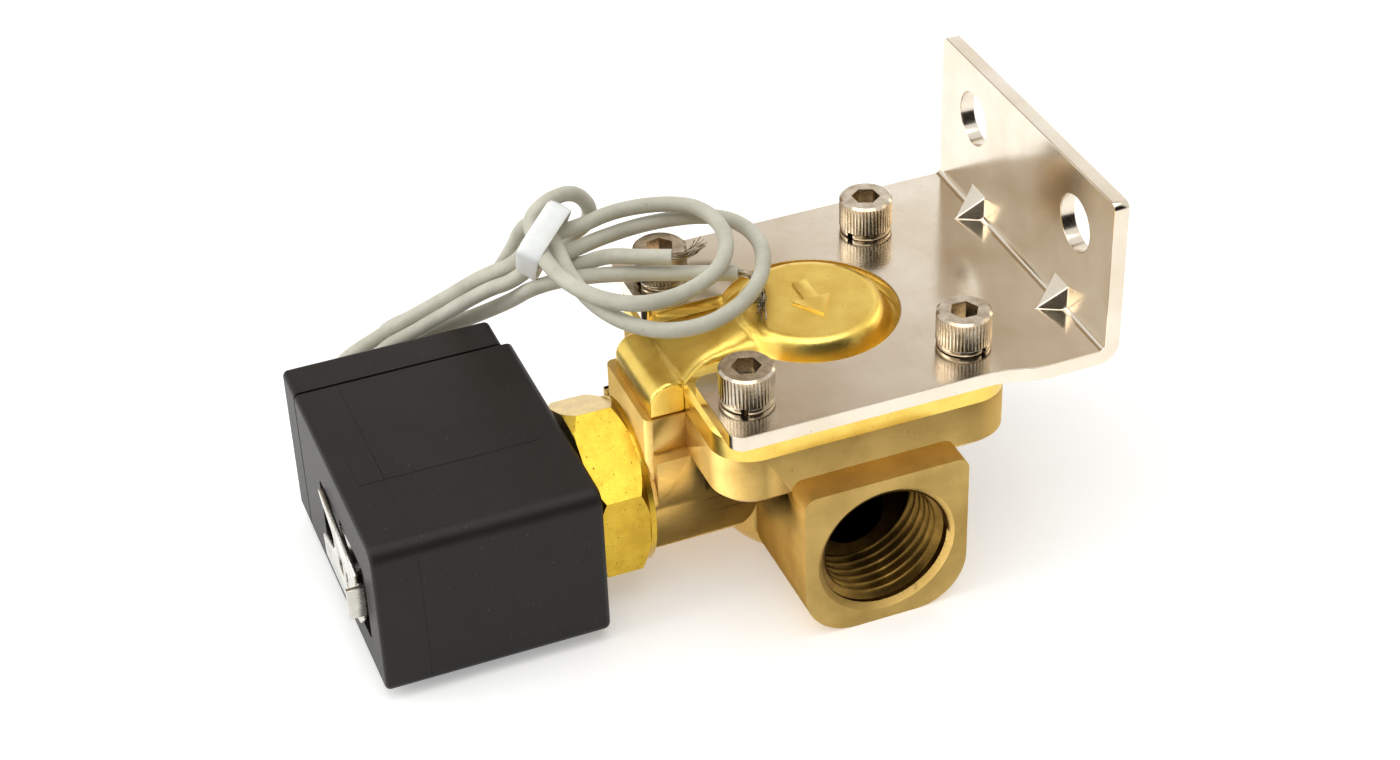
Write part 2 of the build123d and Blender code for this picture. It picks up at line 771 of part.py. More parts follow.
def make_winding():
    left = coil_left_x + yoke_thickness + bobbin_flange + 2 * seat_gap
    right = coil_right_x - yoke_thickness - bobbin_flange - 2 * seat_gap
    return along_x(winding_r, left, right) - along_x(bobbin_barrel_r + seat_gap, left, right)


def make_yoke():
    """Steel frame round the winding, bored for the plunger tube."""
    low = coil_z - yoke_half_height
    high = coil_z + yoke_half_height
    frame = block(coil_left_x, coil_right_x, yoke_near_y, yoke_far_y, low, high)
    frame -= block(
        coil_left_x + yoke_thickness,
        coil_right_x - yoke_thickness,
        yoke_near_y,
        yoke_far_y - yoke_thickness,
        low,
        high,
    )
    return frame - along_x(tube_r + seat_gap, coil_left_x, coil_right_x)


def make_terminal_board():
    """Small board where the leads join the ends of the winding."""
    left = housing_left_x + board_inset
    right = lid_right_x - board_inset
    return block(left, right, board_near_y, board_far_y, coil_z - board_half_height, coil_z + board_half_height)


def make_lead_tails():
    tails = []
    for x in (lead_a_exit_x, lead_b_exit_x):
        tails.append(along_y(lead_r, board_far_y, lid_far_y - lid_wall, x, lead_exit_z))
    return Compound(children=tails)


def make_retaining_clip():
    """Sprung steel fork: one long bar, one short prong and a tab to pull it by."""
    near_x = clip_x(clip_near_y)
    mid = (clip_near_y + clip_far_y) / 2
    inner = [
        (clip_x(clip_far_y), clip_far_y),
        (clip_x(mid), mid),
        (near_x, clip_near_y),
        (near_x - clip_tab_rise, clip_near_y - clip_tab_length),
    ]
    outer = [(x - clip_thickness, y) for x, y in reversed(inner)]
    edge_on = make_face(Polyline(*inner, *outer, close=True))
    strip = extrude(Pos(0, 0, clip_low_z) * edge_on, clip_high_z - clip_low_z)
    left = near_x - 2 * clip_rise
    right = clip_far_x + clip_rise
    slot = block(left, right, coil_y, clip_far_y, coil_z - clip_slot_half_width, coil_z + clip_slot_half_width)
    slot += along_x(clip_slot_half_width, left, right)
    short_prong = block(left, right, clip_far_y - clip_prong_short, clip_far_y, clip_low_z, coil_z)
    taper = make_face(
        Plane(origin=(left, 0, 0), x_dir=(0, 1, 0), z_dir=(1, 0, 0))
        * Polyline(
            (clip_far_y - clip_taper_length, clip_high_z + clip_taper_lift),
            (clip_far_y + clip_taper_lift, clip_high_z + clip_taper_lift),
            (clip_far_y + clip_taper_lift, clip_high_z - clip_taper_height),
            close=True,
        )
    )
    window_far_y = clip_window_near_y + clip_window_length
    window_low_z = coil_z - clip_window_drop
    window = block(left, right, clip_window_near_y, window_far_y, window_low_z, coil_z + clip_window_rise)
    notch = along_x(clip_notch_r, left, right, clip_notch_y, clip_high_z)
    tab_near_y = clip_near_y - clip_tab_length
    tab_side = block(left, right, tab_near_y, clip_near_y, clip_high_z - clip_tab_step, clip_high_z)
    clip = strip - slot - short_prong - extrude(taper, right - left) - window - notch - tab_side
    return clip


# The leads' routes run from the lid to their ends, each through the tie and once round in a loop.
lead_a_route = [
    (lead_a_exit_x, grommet_tip_y, lead_exit_z),
    (lead_a_exit_x, 69.8, lead_exit_z),
    (-64.6, 73.6, 6.6),
    (-59.7, 75.5, 7.2),
    (-53.8, 74.5, 11.0),
    (-47.7, 70.5, 16.3),
    (-41.3, 65.0, 22.1),
    (-37.3, 60.8, 25.4),
    (-35.0, 56.6, 32.2),
    (-28.6, 53.9, 34.2),
    (-22.3, 55.6, 34.6),
    (-14.4, 55.0, 34.4),
    (-8.6, 52.0, 34.0),
    (-7.4, 44.1, 33.6),
    (-11.2, 35.6, 33.6),
    (-18.5, 30.4, 33.8),
    (-26.9, 29.1, 34.2),
    (-32.9, 33.2, 34.6),
    (-36.2, 39.7, 35.0),
    (-37.0, 46.1, 35.4),
    (-36.6, 51.4, 35.4),
    (-35.6, 54.6, 38.0),
    (-31.4, 55.0, 40.8),
    (-26.8, 56.0, 40.5),
    (-23.5, 57.5, 35.9),
    (-23.8, 59.5, 30.7),
    (-28.6, 59.6, 29.0),
    (-30.5, 56.8, 27.0),
    (-29.8, 52.8, 27.8),
    (-26.5, 46.6, 32.8),
    (-22.9, 42.3, 34.0),
    (-18.2, 39.9, 34.2),
]
lead_b_route = [
    (lead_b_exit_x, grommet_tip_y, lead_exit_z),
    (lead_b_exit_x, 69.4, lead_exit_z),
    (-58.2, 70.8, 8.6),
    (-53.1, 71.0, 10.0),
    (-48.5, 68.5, 13.7),
    (-42.0, 62.6, 20.8),
    (-38.2, 58.6, 23.9),
    (-34.4, 55.4, 29.4),
    (-30.9, 52.2, 31.2),
    (-25.0, 53.8, 31.4),
    (-16.8, 54.9, 31.4),
    (-7.3, 54.3, 30.8),
    (-2.8, 49.1, 31.2),
    (-2.7, 39.7, 31.8),
    (-7.8, 30.0, 32.0),
    (-15.5, 24.7, 31.6),
    (-23.5, 24.6, 31.2),
    (-29.4, 29.2, 31.2),
    (-32.8, 36.2, 31.8),
    (-33.8, 44.1, 32.8),
    (-33.6, 51.0, 34.8),
    (-34.4, 56.2, 35.7),
    (-35.8, 60.4, 32.4),
    (-36.4, 64.2, 26.4),
    (-38.6, 69.5, 18.0),
    (-42.9, 76.0, 11.8),
    (-47.3, 81.5, 6.4),
    (-51.2, 84.5, 3.6),
    (-55.0, 83.0, 3.5),
    (-55.7, 78.5, 4.8),
    (-52.7, 75.0, 6.3),
    (-47.7, 72.5, 8.7),
    (-41.9, 68.0, 12.7),
    (-37.5, 62.5, 17.8),
    (-36.8, 56.8, 22.8),
    (-34.0, 52.0, 26.6),
    (-29.5, 47.5, 29.2),
    (-23.8, 42.9, 30.9),
    (-16.5, 39.5, 31.0),
    (-8.7, 37.0, 30.4),
]

# The stripped wires carry on from the leads' ends. The second pair dips under the outer loop.
strand_a_route = [lead_a_route[-1], (-16.8, 39.2, 34.3), (-14.8, 39.6, 34.4), (-12.2, 41.0, 34.5)]
strand_b_route = [
    lead_b_route[-1], (-7.0, 36.4, 30.3), (-6.4, 34.2, 29.6), (-7.4, 31.0, 29.1),
    (-9.4, 27.4, 28.8),
]

# The tie's middle, the way the leads run through it, and its short side
tie_middle = (-35.2, 56.7, 29.2)
tie_way = (0.80, -0.52, 0.30)
tie_short_side = (0.600, 0.703, -0.382)


def route_radii(points):
    """Largest tangent arc that each corner of a route allows."""
    radii = []
    for before, corner, after in zip(points, points[1:], points[2:]):
        run_in = Vector(*corner) - Vector(*before)
        run_out = Vector(*after) - Vector(*corner)
        shorter = min(run_in.length, run_out.length)
        radii.append(0.45 * shorter / tan(radians(run_in.get_angle(run_out) / 2)))
    return radii


def make_lead(points, radius, name):
    """Round lead along its route."""
    radii = route_radii(points)
    path = FilletPolyline(*points, radius=radii)
    section = Circle(radius)
    tube = sweep(Plane(origin=points[0], z_dir=path % 0) * section, path=path)
    print(name, "bend radii", [round(r, 1) for r in radii])
    share = tube.volume / path.length / section.area
    print(name, "length", round(path.length, 1), "volume ratio", round(share, 4))
    return tube


def make_tie():
    """Flat band wound round the four passes of the leads."""
    plane = Plane(origin=tie_middle, x_dir=tie_short_side, z_dir=tie_way)
    inner = RectangleRounded(tie_opening_across, tie_opening_along, tie_opening_across / 2 - tie_thickness)
    outer = offset(inner, tie_thickness)
    return extrude(plane * (outer - inner), tie_width / 2, both=True)


os.makedirs("parts", exist_ok=True)
save(make_valve_body(), "valve_body")
save(make_bonnet(), "bonnet")
save(make_bracket(), "mounting_bracket")
save(make_screws(), "bonnet_screws")
save(make_washers(), "spring_washers")
save(make_main_diaphragm(), "main_diaphragm")
save(make_retainer(), "diaphragm_retainer")
save(make_seat_disc(), "seat_disc")
save(make_main_spring(), "main_spring")
save(make_passage_seal(), "passage_seal")
save(make_pilot_seat(), "pilot_seat")
save(make_tube_nut(), "tube_nut")
save(make_core_tube(), "core_tube")
save(make_tube_seal(), "tube_seal")
save(make_fixed_core(), "fixed_core")
save(make_shading_ring(), "shading_ring")
save(make_armature(), "armature")
save(make_armature_seal(), "armature_seal")
save(make_armature_spring(), "armature_spring")
save(make_coil_housing(), "coil_housing")
save(make_coil_lid(), "coil_lid")
save(make_grommets(), "lead_grommets")
save(make_bobbin(), "coil_bobbin")
save(make_winding(), "coil_winding")
save(make_yoke(), "magnet_yoke")
save(make_terminal_board(), "terminal_board")
save(make_lead_tails(), "lead_tails")
save(make_retaining_clip(), "retaining_clip")
save(make_lead(lead_a_route, lead_r, "lead_a"), "lead_a")
save(make_lead(lead_b_route, lead_r, "lead_b"), "lead_b")
save(make_lead(strand_a_route, strand_r, "lead_a_strands"), "lead_a_strands")
save(make_lead(strand_b_route, strand_r, "lead_b_strands"), "lead_b_strands")
save(make_tie(), "wire_tie")
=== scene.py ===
import bpy
from bpy import ops
import json
import random
from math import atan2, cos, pi, radians, sin, sqrt, tau
from mathutils import Matrix, Vector, geometry


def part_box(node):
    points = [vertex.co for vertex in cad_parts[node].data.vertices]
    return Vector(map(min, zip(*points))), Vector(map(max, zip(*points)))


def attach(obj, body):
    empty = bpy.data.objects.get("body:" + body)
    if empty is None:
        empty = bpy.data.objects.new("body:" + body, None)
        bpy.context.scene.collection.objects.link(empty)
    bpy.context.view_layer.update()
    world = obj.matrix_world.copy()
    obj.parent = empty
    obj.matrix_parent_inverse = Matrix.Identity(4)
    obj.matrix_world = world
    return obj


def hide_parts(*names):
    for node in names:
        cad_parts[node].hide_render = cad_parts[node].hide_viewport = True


# A solenoid air valve: forged brass body, plated bracket, black coil, two grey leads in a white tie.
# The object's own sizes are in millimetres here, and mm() turns them to the scene's metres.

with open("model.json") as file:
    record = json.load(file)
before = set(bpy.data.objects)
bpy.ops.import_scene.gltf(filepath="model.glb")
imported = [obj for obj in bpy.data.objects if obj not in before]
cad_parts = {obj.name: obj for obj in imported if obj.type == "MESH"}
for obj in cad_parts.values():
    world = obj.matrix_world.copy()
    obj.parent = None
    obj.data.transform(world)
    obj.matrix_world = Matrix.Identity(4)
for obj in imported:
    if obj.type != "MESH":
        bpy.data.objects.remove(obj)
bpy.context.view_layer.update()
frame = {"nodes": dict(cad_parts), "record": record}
nodes = frame["nodes"]
print("frame loaded")


def mm(*values):
    return values[0] / 1000 if len(values) == 1 else Vector(values) / 1000


# Small tools

def newObject(name, data):
    piece = bpy.data.objects.new(name, data)
    bpy.context.scene.collection.objects.link(piece)
    return piece


def selectOnly(*pieces):
    ops.object.select_all(action="DESELECT")
    for piece in pieces:
        piece.select_set(True)
    bpy.context.view_layer.objects.active = pieces[0]


def applyModifiers(piece):
    selectOnly(piece)
    for name in [modifier.name for modifier in piece.modifiers]:
        ops.object.modifier_apply(modifier=name)


def editAll(piece):
    selectOnly(piece)
    ops.object.mode_set(mode="EDIT")
    ops.mesh.select_all(action="SELECT")


def leaveEdit():
    ops.object.mode_set(mode="OBJECT")


def settle(piece):
    # Place and turn go into the mesh, so that the object sits at the origin
    selectOnly(piece)
    ops.object.transform_apply(location=True, rotation=True, scale=True)


def finishPiece(piece, slot, replaced=(), smoothAngle=32, flats=False, material=None):
    # The finish is the slot's own, unless another is given
    if piece.type == "MESH":
        selectOnly(piece)
        ops.object.shade_smooth_by_angle(angle=radians(smoothAngle))
    if flats:
        even = piece.modifiers.new("evenFlats", "WEIGHTED_NORMAL")
        even.keep_sharp = True
        applyModifiers(piece)
    piece.data.materials.clear()
    piece.data.materials.append(material or finishes[slot])
    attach(piece, "valve")
    for node in replaced:
        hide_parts(node)
    return piece


# Material tools

def colour(hexValue):
    # sRGB hex to the linear colour that a shader takes
    channels = [int(hexValue[i:i + 2], 16) / 255 for i in (1, 3, 5)]
    linear = [c / 12.92 if c <= 0.04045 else ((c + 0.055) / 1.055) ** 2.4 for c in channels]
    return (*linear, 1.0)


def setInputs(tree, node, inputs):
    # Each input, by name or number, gets a value or another node's output
    for name, given in inputs.items():
        if isinstance(given, bpy.types.NodeSocket):
            tree.links.new(given, node.inputs[name])
        else:
            node.inputs[name].default_value = given


def addNode(tree, kind, settings, inputs):
    # Adds a node with its settings and links, and gives its outputs
    node = tree.nodes.new("ShaderNode" + kind)
    for name, value in settings.items():
        setattr(node, name, value)
    setInputs(tree, node, inputs)
    return node.outputs


def grainScale(sizeMm):
    # Texture scale for a pattern whose features are this big
    return 1000 / sizeMm


def newMaterial(name):
    material = bpy.data.materials.new(name)
    material.use_nodes = True
    tree = material.node_tree
    shader = tree.nodes["Principled BSDF"]
    place = addNode(tree, "TexCoord", {}, {})["Object"]
    return material, tree, shader, place


def workedSurface(name, look, drawn):
    # A finish from its colours, the sizes and depths of its patterns, and its gloss
    material, tree, shader, place = newMaterial(name)
    pattern = {}
    for kind in ("cloud", "grain", "speck"):
        detail, roughness = drawn[kind]
        pattern[kind] = addNode(tree, "TexNoise", {}, {
            "Vector": place, "Scale": grainScale(look[kind + "Mm"]), "Detail": detail,
            "Roughness": roughness,
        })["Fac"]
    patches = addNode(tree, "MapRange", {}, {
        "Value": pattern["cloud"], "From Min": drawn["cloudFrom"], "From Max": drawn["cloudTo"],
    })["Result"]
    specks = addNode(tree, "MapRange", {}, {
        "Value": pattern["speck"], "From Min": look["speckFrom"],
        "From Max": look["speckFrom"] + drawn["speckWidth"], "To Max": look["speckShare"],
    })["Result"]
    gloss = addNode(tree, "MapRange", {}, {
        "Value": pattern["grain"], "From Min": drawn["grainFrom"], "From Max": drawn["grainTo"],
        "To Min": look["rough"][0], "To Max": look["rough"][1],
    })["Result"]
    base = addNode(tree, "MixRGB", {}, {
        "Fac": patches, "Color1": colour(look["light"]), "Color2": colour(look["dark"]),
    })["Color"]
    base = addNode(tree, "MixRGB", {}, {
        "Fac": specks, "Color1": base, "Color2": colour(look["speck"]),
    })["Color"]
    normal = addNode(tree, "Bump", {}, {
        "Height": pattern["grain"], "Distance": mm(look["grainDepth"]), "Strength": 1.0,
    })["Normal"]
    if "waveDepth" in look:
        normal = addNode(tree, "Bump", {}, {
            "Height": pattern["cloud"], "Distance": mm(look["waveDepth"]), "Strength": 1.0,
            "Normal": normal,
        })["Normal"]
    setInputs(tree, shader, {"Base Color": base, "Roughness": gloss, "Normal": normal})
    setInputs(tree, shader, {**drawn["shader"], **look.get("shader", {})})
    return material


winding = {
    "turnMm": 0.25, "waver": 0.4, "colours": ("#7A3A1C", "#B86A38"), "grooveDepth": 0.08,
    "shader": {"Metallic": 0.8, "Roughness": 0.3},
}


def copperWire():
    # enamelled copper winding wire, wound in close turns along X
    material, tree, shader, place = newMaterial("copperWire")
    turns = addNode(tree, "TexWave", {"wave_type": "BANDS", "bands_direction": "X"}, {
        "Vector": place, "Scale": grainScale(winding["turnMm"]) / tau, "Distortion": winding["waver"],
    })["Fac"]
    dark, light = winding["colours"]
    base = addNode(tree, "MixRGB", {}, {
        "Fac": turns, "Color1": colour(dark), "Color2": colour(light),
    })["Color"]
    grooves = addNode(tree, "Bump", {}, {
        "Height": turns, "Distance": mm(winding["grooveDepth"]), "Strength": 1.0,
    })["Normal"]
    setInputs(tree, shader, {"Base Color": base, "Normal": grooves, **winding["shader"]})
    return material


# Finishes; sizes of the patterns and their depths are in millimetres

# how the noise is drawn: detail and roughness of each pattern, and where each starts and ends in it
metalNoise = {
    "cloud": (4, 0.55), "grain": (4, 0.6), "speck": (2, 0.55), "cloudFrom": 0.36, "cloudTo": 0.64,
    "grainFrom": 0.3, "grainTo": 0.7, "speckWidth": 0.06, "shader": {"Metallic": 1.0},
}
mouldedNoise = {
    "cloud": (3, 0.55), "grain": (4, 0.65), "speck": (3, 0.7), "cloudFrom": 0.35, "cloudTo": 0.65,
    "grainFrom": 0.3, "grainTo": 0.7, "speckWidth": 0.05, "shader": {},
}
metals = {
    # hot-forged brass, shot-blasted and then dulled in the air: fine sandy grain, tan patches, dark pits
    "forgedBrass": {
        "slot": "forged_brass", "light": "#DDBB70", "dark": "#C4A25C", "speck": "#5E4A26", "cloudMm": 9,
        "grainMm": 0.35, "speckMm": 0.5, "speckFrom": 0.69, "speckShare": 0.5, "rough": (0.38, 0.5),
        "grainDepth": 0.02, "waveDepth": 0.05,
    },
    # forged brass, tumbled bright: warm yellow, softer grain, few specks
    "tumbledBrass": {
        "light": "#F4D671", "dark": "#E6C35E", "speck": "#7A5A24", "cloudMm": 6, "grainMm": 0.5,
        "speckMm": 0.6, "speckFrom": 0.69, "speckShare": 0.5, "rough": (0.28, 0.38), "grainDepth": 0.015,
        "waveDepth": 0.05,
    },
    # free-cutting brass, machined: the brightest yellow, nearly smooth, small dark tool marks
    "turnedBrass": {
        "slot": "turned_brass", "light": "#CBAA3C", "dark": "#B89632", "speck": "#3E2C12", "cloudMm": 4,
        "grainMm": 0.5, "speckMm": 0.45, "speckFrom": 0.665, "speckShare": 0.8, "rough": (0.26, 0.34),
        "grainDepth": 0.002, "waveDepth": 0.01,
    },
    # the same brass inside the ports, cut by the tap, in darker colours: painted shade deep in the bores
    # and on the threads
    "boredBrass": {
        "light": "#8A6C34", "dark": "#6E5427", "speck": "#3A2A12", "cloudMm": 3, "grainMm": 0.3,
        "speckMm": 0.5, "speckFrom": 0.66, "speckShare": 0.5, "rough": (0.28, 0.4), "grainDepth": 0.01,
        "waveDepth": 0.01,
    },
    # bright nickel over pressed steel: warm grey, slightly wavy from rolling, grey specks where it has worn
    "nickelPlate": {
        "slot": "plated_steel", "light": "#E2D8C8", "dark": "#D6C9B4", "speck": "#77684F", "cloudMm": 14,
        "grainMm": 0.6, "speckMm": 0.5, "speckFrom": 0.70, "speckShare": 0.5, "rough": (0.15, 0.2),
        "grainDepth": 0.0012, "waveDepth": 0.004,
    },
    # nickel-plated screw steel: mirror bright, so it shows the dark room as well as the white
    "screwSteel": {
        "slot": "plated_screw", "light": "#D0C4B2", "dark": "#B0A28C", "speck": "#4C4234", "cloudMm": 2,
        "grainMm": 0.3, "speckMm": 0.5, "speckFrom": 0.68, "speckShare": 0.4, "rough": (0.12, 0.22),
        "grainDepth": 0.006, "waveDepth": 0.02,
    },
    # spring steel strip, bright rolled
    "springSteel": {
        "slot": "spring_steel", "light": "#D8D6D0", "dark": "#BBB8B0", "speck": "#6D6A62", "cloudMm": 4,
        "grainMm": 0.3, "speckMm": 0.5, "speckFrom": 0.68, "speckShare": 0.4, "rough": (0.18, 0.3),
        "grainDepth": 0.01, "waveDepth": 0.03,
    },
    # ferritic stainless steel, turned
    "turnedSteel": {
        "slot": "turned_steel", "light": "#BDBAB4", "dark": "#A29E97", "speck": "#5A564E", "cloudMm": 3,
        "grainMm": 0.2, "speckMm": 0.4, "speckFrom": 0.68, "speckShare": 0.4, "rough": (0.22, 0.34),
        "grainDepth": 0.01, "waveDepth": 0.02,
    },
    # tinned copper strands, mirror bright but very thin
    "tinnedWire": {
        "slot": "tinned_copper", "light": "#CFC6B6", "dark": "#8F8066", "speck": "#3B3020", "cloudMm": 1.2,
        "grainMm": 0.3, "speckMm": 0.5, "speckFrom": 0.6, "speckShare": 0.7, "rough": (0.12, 0.26),
        "grainDepth": 0.01, "waveDepth": 0.01,
    },
}
mouldings = {
    # glass-filled nylon, spark-eroded mould: charcoal, satin, pale dust that sits in the grain
    "blackNylon": {
        "slot": "black_moulding", "light": "#1E1A18", "dark": "#191614", "speck": "#7E7A72", "cloudMm": 9,
        "grainMm": 0.28, "speckMm": 0.5, "speckFrom": 0.68, "speckShare": 0.35, "rough": (0.42, 0.55),
        "grainDepth": 0.02, "shader": {"IOR": 1.45, "Specular IOR Level": 0.3},
    },
    # nitrile rubber: matt black with a slight bloom
    "blackRubber": {
        "slot": "black_rubber", "light": "#1B1A19", "dark": "#131312", "speck": "#5A5752", "cloudMm": 4,
        "grainMm": 0.3, "speckMm": 0.6, "speckFrom": 0.7, "speckShare": 0.2, "rough": (0.6, 0.75),
        "grainDepth": 0.02, "shader": {"IOR": 1.5},
    },
    # natural nylon, as moulded: ivory
    "bobbinNylon": {
        "slot": "bobbin_nylon", "light": "#D9D2BF", "dark": "#CCC3AD", "speck": "#A59B82", "cloudMm": 6,
        "grainMm": 0.4, "speckMm": 0.8, "speckFrom": 0.7, "speckShare": 0.2, "rough": (0.4, 0.5),
        "grainDepth": 0.01, "shader": {"IOR": 1.53},
    },
    # silicone-rubber lead jacket, extruded: warm grey, satin, faint drawn streaks and handling marks
    "leadSheath": {
        "slot": "lead_jacket", "light": "#CBC8B8", "dark": "#B8B5A4", "speck": "#827F70", "cloudMm": 6,
        "grainMm": 0.35, "speckMm": 1.1, "speckFrom": 0.66, "speckShare": 0.35, "rough": (0.42, 0.56),
        "grainDepth": 0.012, "shader": {"IOR": 1.43},
    },
    # white polyethylene tie: slightly see-through at its edges, so a little light passes in it
    "tiePlastic": {
        "slot": "tie_tape", "light": "#FCFCFA", "dark": "#F4F4F0", "speck": "#D9D8CF", "cloudMm": 3,
        "grainMm": 0.4, "speckMm": 0.9, "speckFrom": 0.68, "speckShare": 0.4, "rough": (0.34, 0.46),
        "grainDepth": 0.02, "shader": {"IOR": 1.51, "Subsurface Weight": 0.15, "Subsurface Scale": mm(0.6)},
    },
}

made = {name: workedSurface(name, look, metalNoise) for name, look in metals.items()}
made.update({name: workedSurface(name, look, mouldedNoise) for name, look in mouldings.items()})
looks = {**metals, **mouldings}
finishes = {looks[name]["slot"]: material for name, material in made.items() if "slot" in looks[name]}
finishes["copper_wire"] = copperWire()

# The nodes that stay as the CAD has them take the finish of their slot in the record.
for subpart in frame["record"]["subparts"]:
    node = nodes[subpart["node"]]
    node.data.materials.clear()
    node.data.materials.append(finishes[subpart["material_slot"]])
print("finishes made")


# Camera and stage

camera = {
    "place": mm(-135.275, -282.957, 257.954), "heading": -20.53, "tilt": 54.247, "roll": -2.103,
    "lens": 68.49, "sensor": 36.0, "nearest": mm(10), "farthest": mm(20000),
}
stage = {
    "floorSize": mm(6000), "floorShade": "#F4F4F2", "floorRough": 0.9, "floorSheen": 0.1,
    "floorGlow": 0.32, "mirrorGlow": 0.5, "roomLight": 0.34,
    "lamps": [
        {"name": "overheadSoftbox", "place": (-90, -60, 560), "aim": (-10, 25, 0), "size": 620,
         "watts": 2.1},
        {"name": "leftSoftbox", "place": (-560, 120, 260), "aim": (-40, 25, 0), "size": 420, "watts": 1.6},
        {"name": "backSoftbox", "place": (330, 520, 430), "aim": (30, 25, 20), "size": 380, "watts": 1.2,
         "mirrored": False},
    ],
    # cards that only reflections see: the dark side of the room behind the camera, and the wall opposite,
    # which is dim and warm on the left and high up, and white on the right
    "cards": [
        {"name": "darkRoomCard", "place": (60, -900, 520), "size": 1500, "shades": ("#1A1612", "#1A1612"),
         "across": (-100, 100), "lean": 0.0, "strength": 1.0},
        {"name": "farWallCard", "place": (360, 900, 640), "size": 1500, "shades": ("#9A8466", "#FFFFFF"),
         "across": (-130, 90), "lean": -0.9, "strength": 1.2},
    ],
}


def setCamera():
    data = bpy.data.cameras.new("photoCamera")
    data.lens = camera["lens"]
    data.sensor_width = camera["sensor"]
    data.sensor_fit = "HORIZONTAL"
    data.clip_start = camera["nearest"]
    data.clip_end = camera["farthest"]
    eye = newObject("photoCamera", data)
    turn = Matrix.Rotation(radians(camera["heading"]), 4, "Z")
    turn = turn @ Matrix.Rotation(radians(camera["tilt"]), 4, "X")
    turn = turn @ Matrix.Rotation(radians(camera["roll"]), 4, "Z")
    eye.matrix_world = Matrix.Translation(camera["place"]) @ turn
    bpy.context.scene.camera = eye


def isSeen(tree):
    # 1 for rays that the camera sends, also by way of a mirror or through glass, 0 for the rest
    path = addNode(tree, "LightPath", {}, {})
    total = path["Is Camera Ray"]
    for kind in ("Is Glossy Ray", "Is Transmission Ray"):
        total = addNode(tree, "Math", {"operation": "MAXIMUM"}, {0: total, 1: path[kind]})[0]
    return total


def whitePaper():
    # seamless white paper: the camera sees it white except where the object shades it
    material, tree, shader, _ = newMaterial("whitePaper")
    glow = addNode(tree, "Math", {"operation": "MULTIPLY"}, {
        0: isSeen(tree), 1: stage["floorGlow"],
    })[0]
    glow = addNode(tree, "Math", {"operation": "MULTIPLY_ADD"}, {
        0: addNode(tree, "LightPath", {}, {})["Is Glossy Ray"],
        1: stage["mirrorGlow"] - stage["floorGlow"], 2: glow,
    })[0]
    setInputs(tree, shader, {
        "Base Color": colour(stage["floorShade"]), "Roughness": stage["floorRough"],
        "Specular IOR Level": stage["floorSheen"], "Emission Color": (1, 1, 1, 1),
        "Emission Strength": glow,
    })
    return material


def reflectionCard(card):
    ops.mesh.primitive_plane_add(size=mm(card["size"]), location=mm(*card["place"]))
    piece = bpy.context.object
    piece.name = card["name"]
    piece.rotation_euler = (radians(90), 0, 0)
    settle(piece)
    material, tree, shader, place = newMaterial(card["name"])
    parts = addNode(tree, "SeparateXYZ", {}, {"Vector": place})
    leaning = addNode(tree, "Math", {"operation": "MULTIPLY_ADD"}, {
        0: parts["Z"], 1: card["lean"], 2: parts["X"],
    })[0]
    middle = mm(*card["place"])
    start = middle.x + middle.z * card["lean"]
    left, right = card["across"]
    share = addNode(tree, "MapRange", {}, {
        "Value": leaning, "From Min": start + mm(left), "From Max": start + mm(right),
    })["Result"]
    first, second = card["shades"]
    shade = addNode(tree, "MixRGB", {}, {
        "Fac": share, "Color1": colour(first), "Color2": colour(second),
    })["Color"]
    glow = addNode(tree, "Emission", {}, {"Color": shade, "Strength": card["strength"]})[0]
    tree.links.new(glow, tree.nodes["Material Output"].inputs["Surface"])
    tree.nodes.remove(shader)
    piece.data.materials.append(material)
    piece.visible_camera = False
    piece.visible_diffuse = False
    piece.visible_shadow = False
    piece.visible_transmission = False


def setStage():
    ops.object.select_all(action="DESELECT")
    lowest = min(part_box("valve_body")[0].z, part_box("coil_housing")[0].z)
    ops.mesh.primitive_plane_add(size=stage["floorSize"], location=(0, 0, lowest))
    floor = bpy.context.object
    floor.name = "floor"
    floor.data.materials.append(whitePaper())
    settle(floor)
    for card in stage["cards"]:
        reflectionCard(card)


def setWorld():
    world = bpy.data.worlds.new("studio")
    world.use_nodes = True
    bpy.context.scene.world = world
    tree = world.node_tree
    tree.nodes.clear()
    white, dim = [
        addNode(tree, "Background", {}, {"Color": (1, 1, 1, 1), "Strength": strength})[0]
        for strength in (1.0, stage["roomLight"])
    ]
    mix = addNode(tree, "MixShader", {}, {0: isSeen(tree), 1: dim, 2: white})
    addNode(tree, "OutputWorld", {}, {"Surface": mix[0]})


def setLamps():
    for given in stage["lamps"]:
        data = bpy.data.lights.new(given["name"], "AREA")
        data.shape = "SQUARE"
        data.size = mm(given["size"])
        data.energy = given["watts"]
        lamp = newObject(given["name"], data)
        lamp.visible_glossy = given.get("mirrored", True)
        lamp.location = mm(*given["place"])
        lamp.rotation_euler = (mm(*given["aim"]) - mm(*given["place"])).to_track_quat("-Z", "Y").to_euler()


setCamera()
setStage()
setWorld()
setLamps()
bpy.context.scene.view_settings.view_transform = "Standard"
print("camera, floor and lamps set")


# Leads

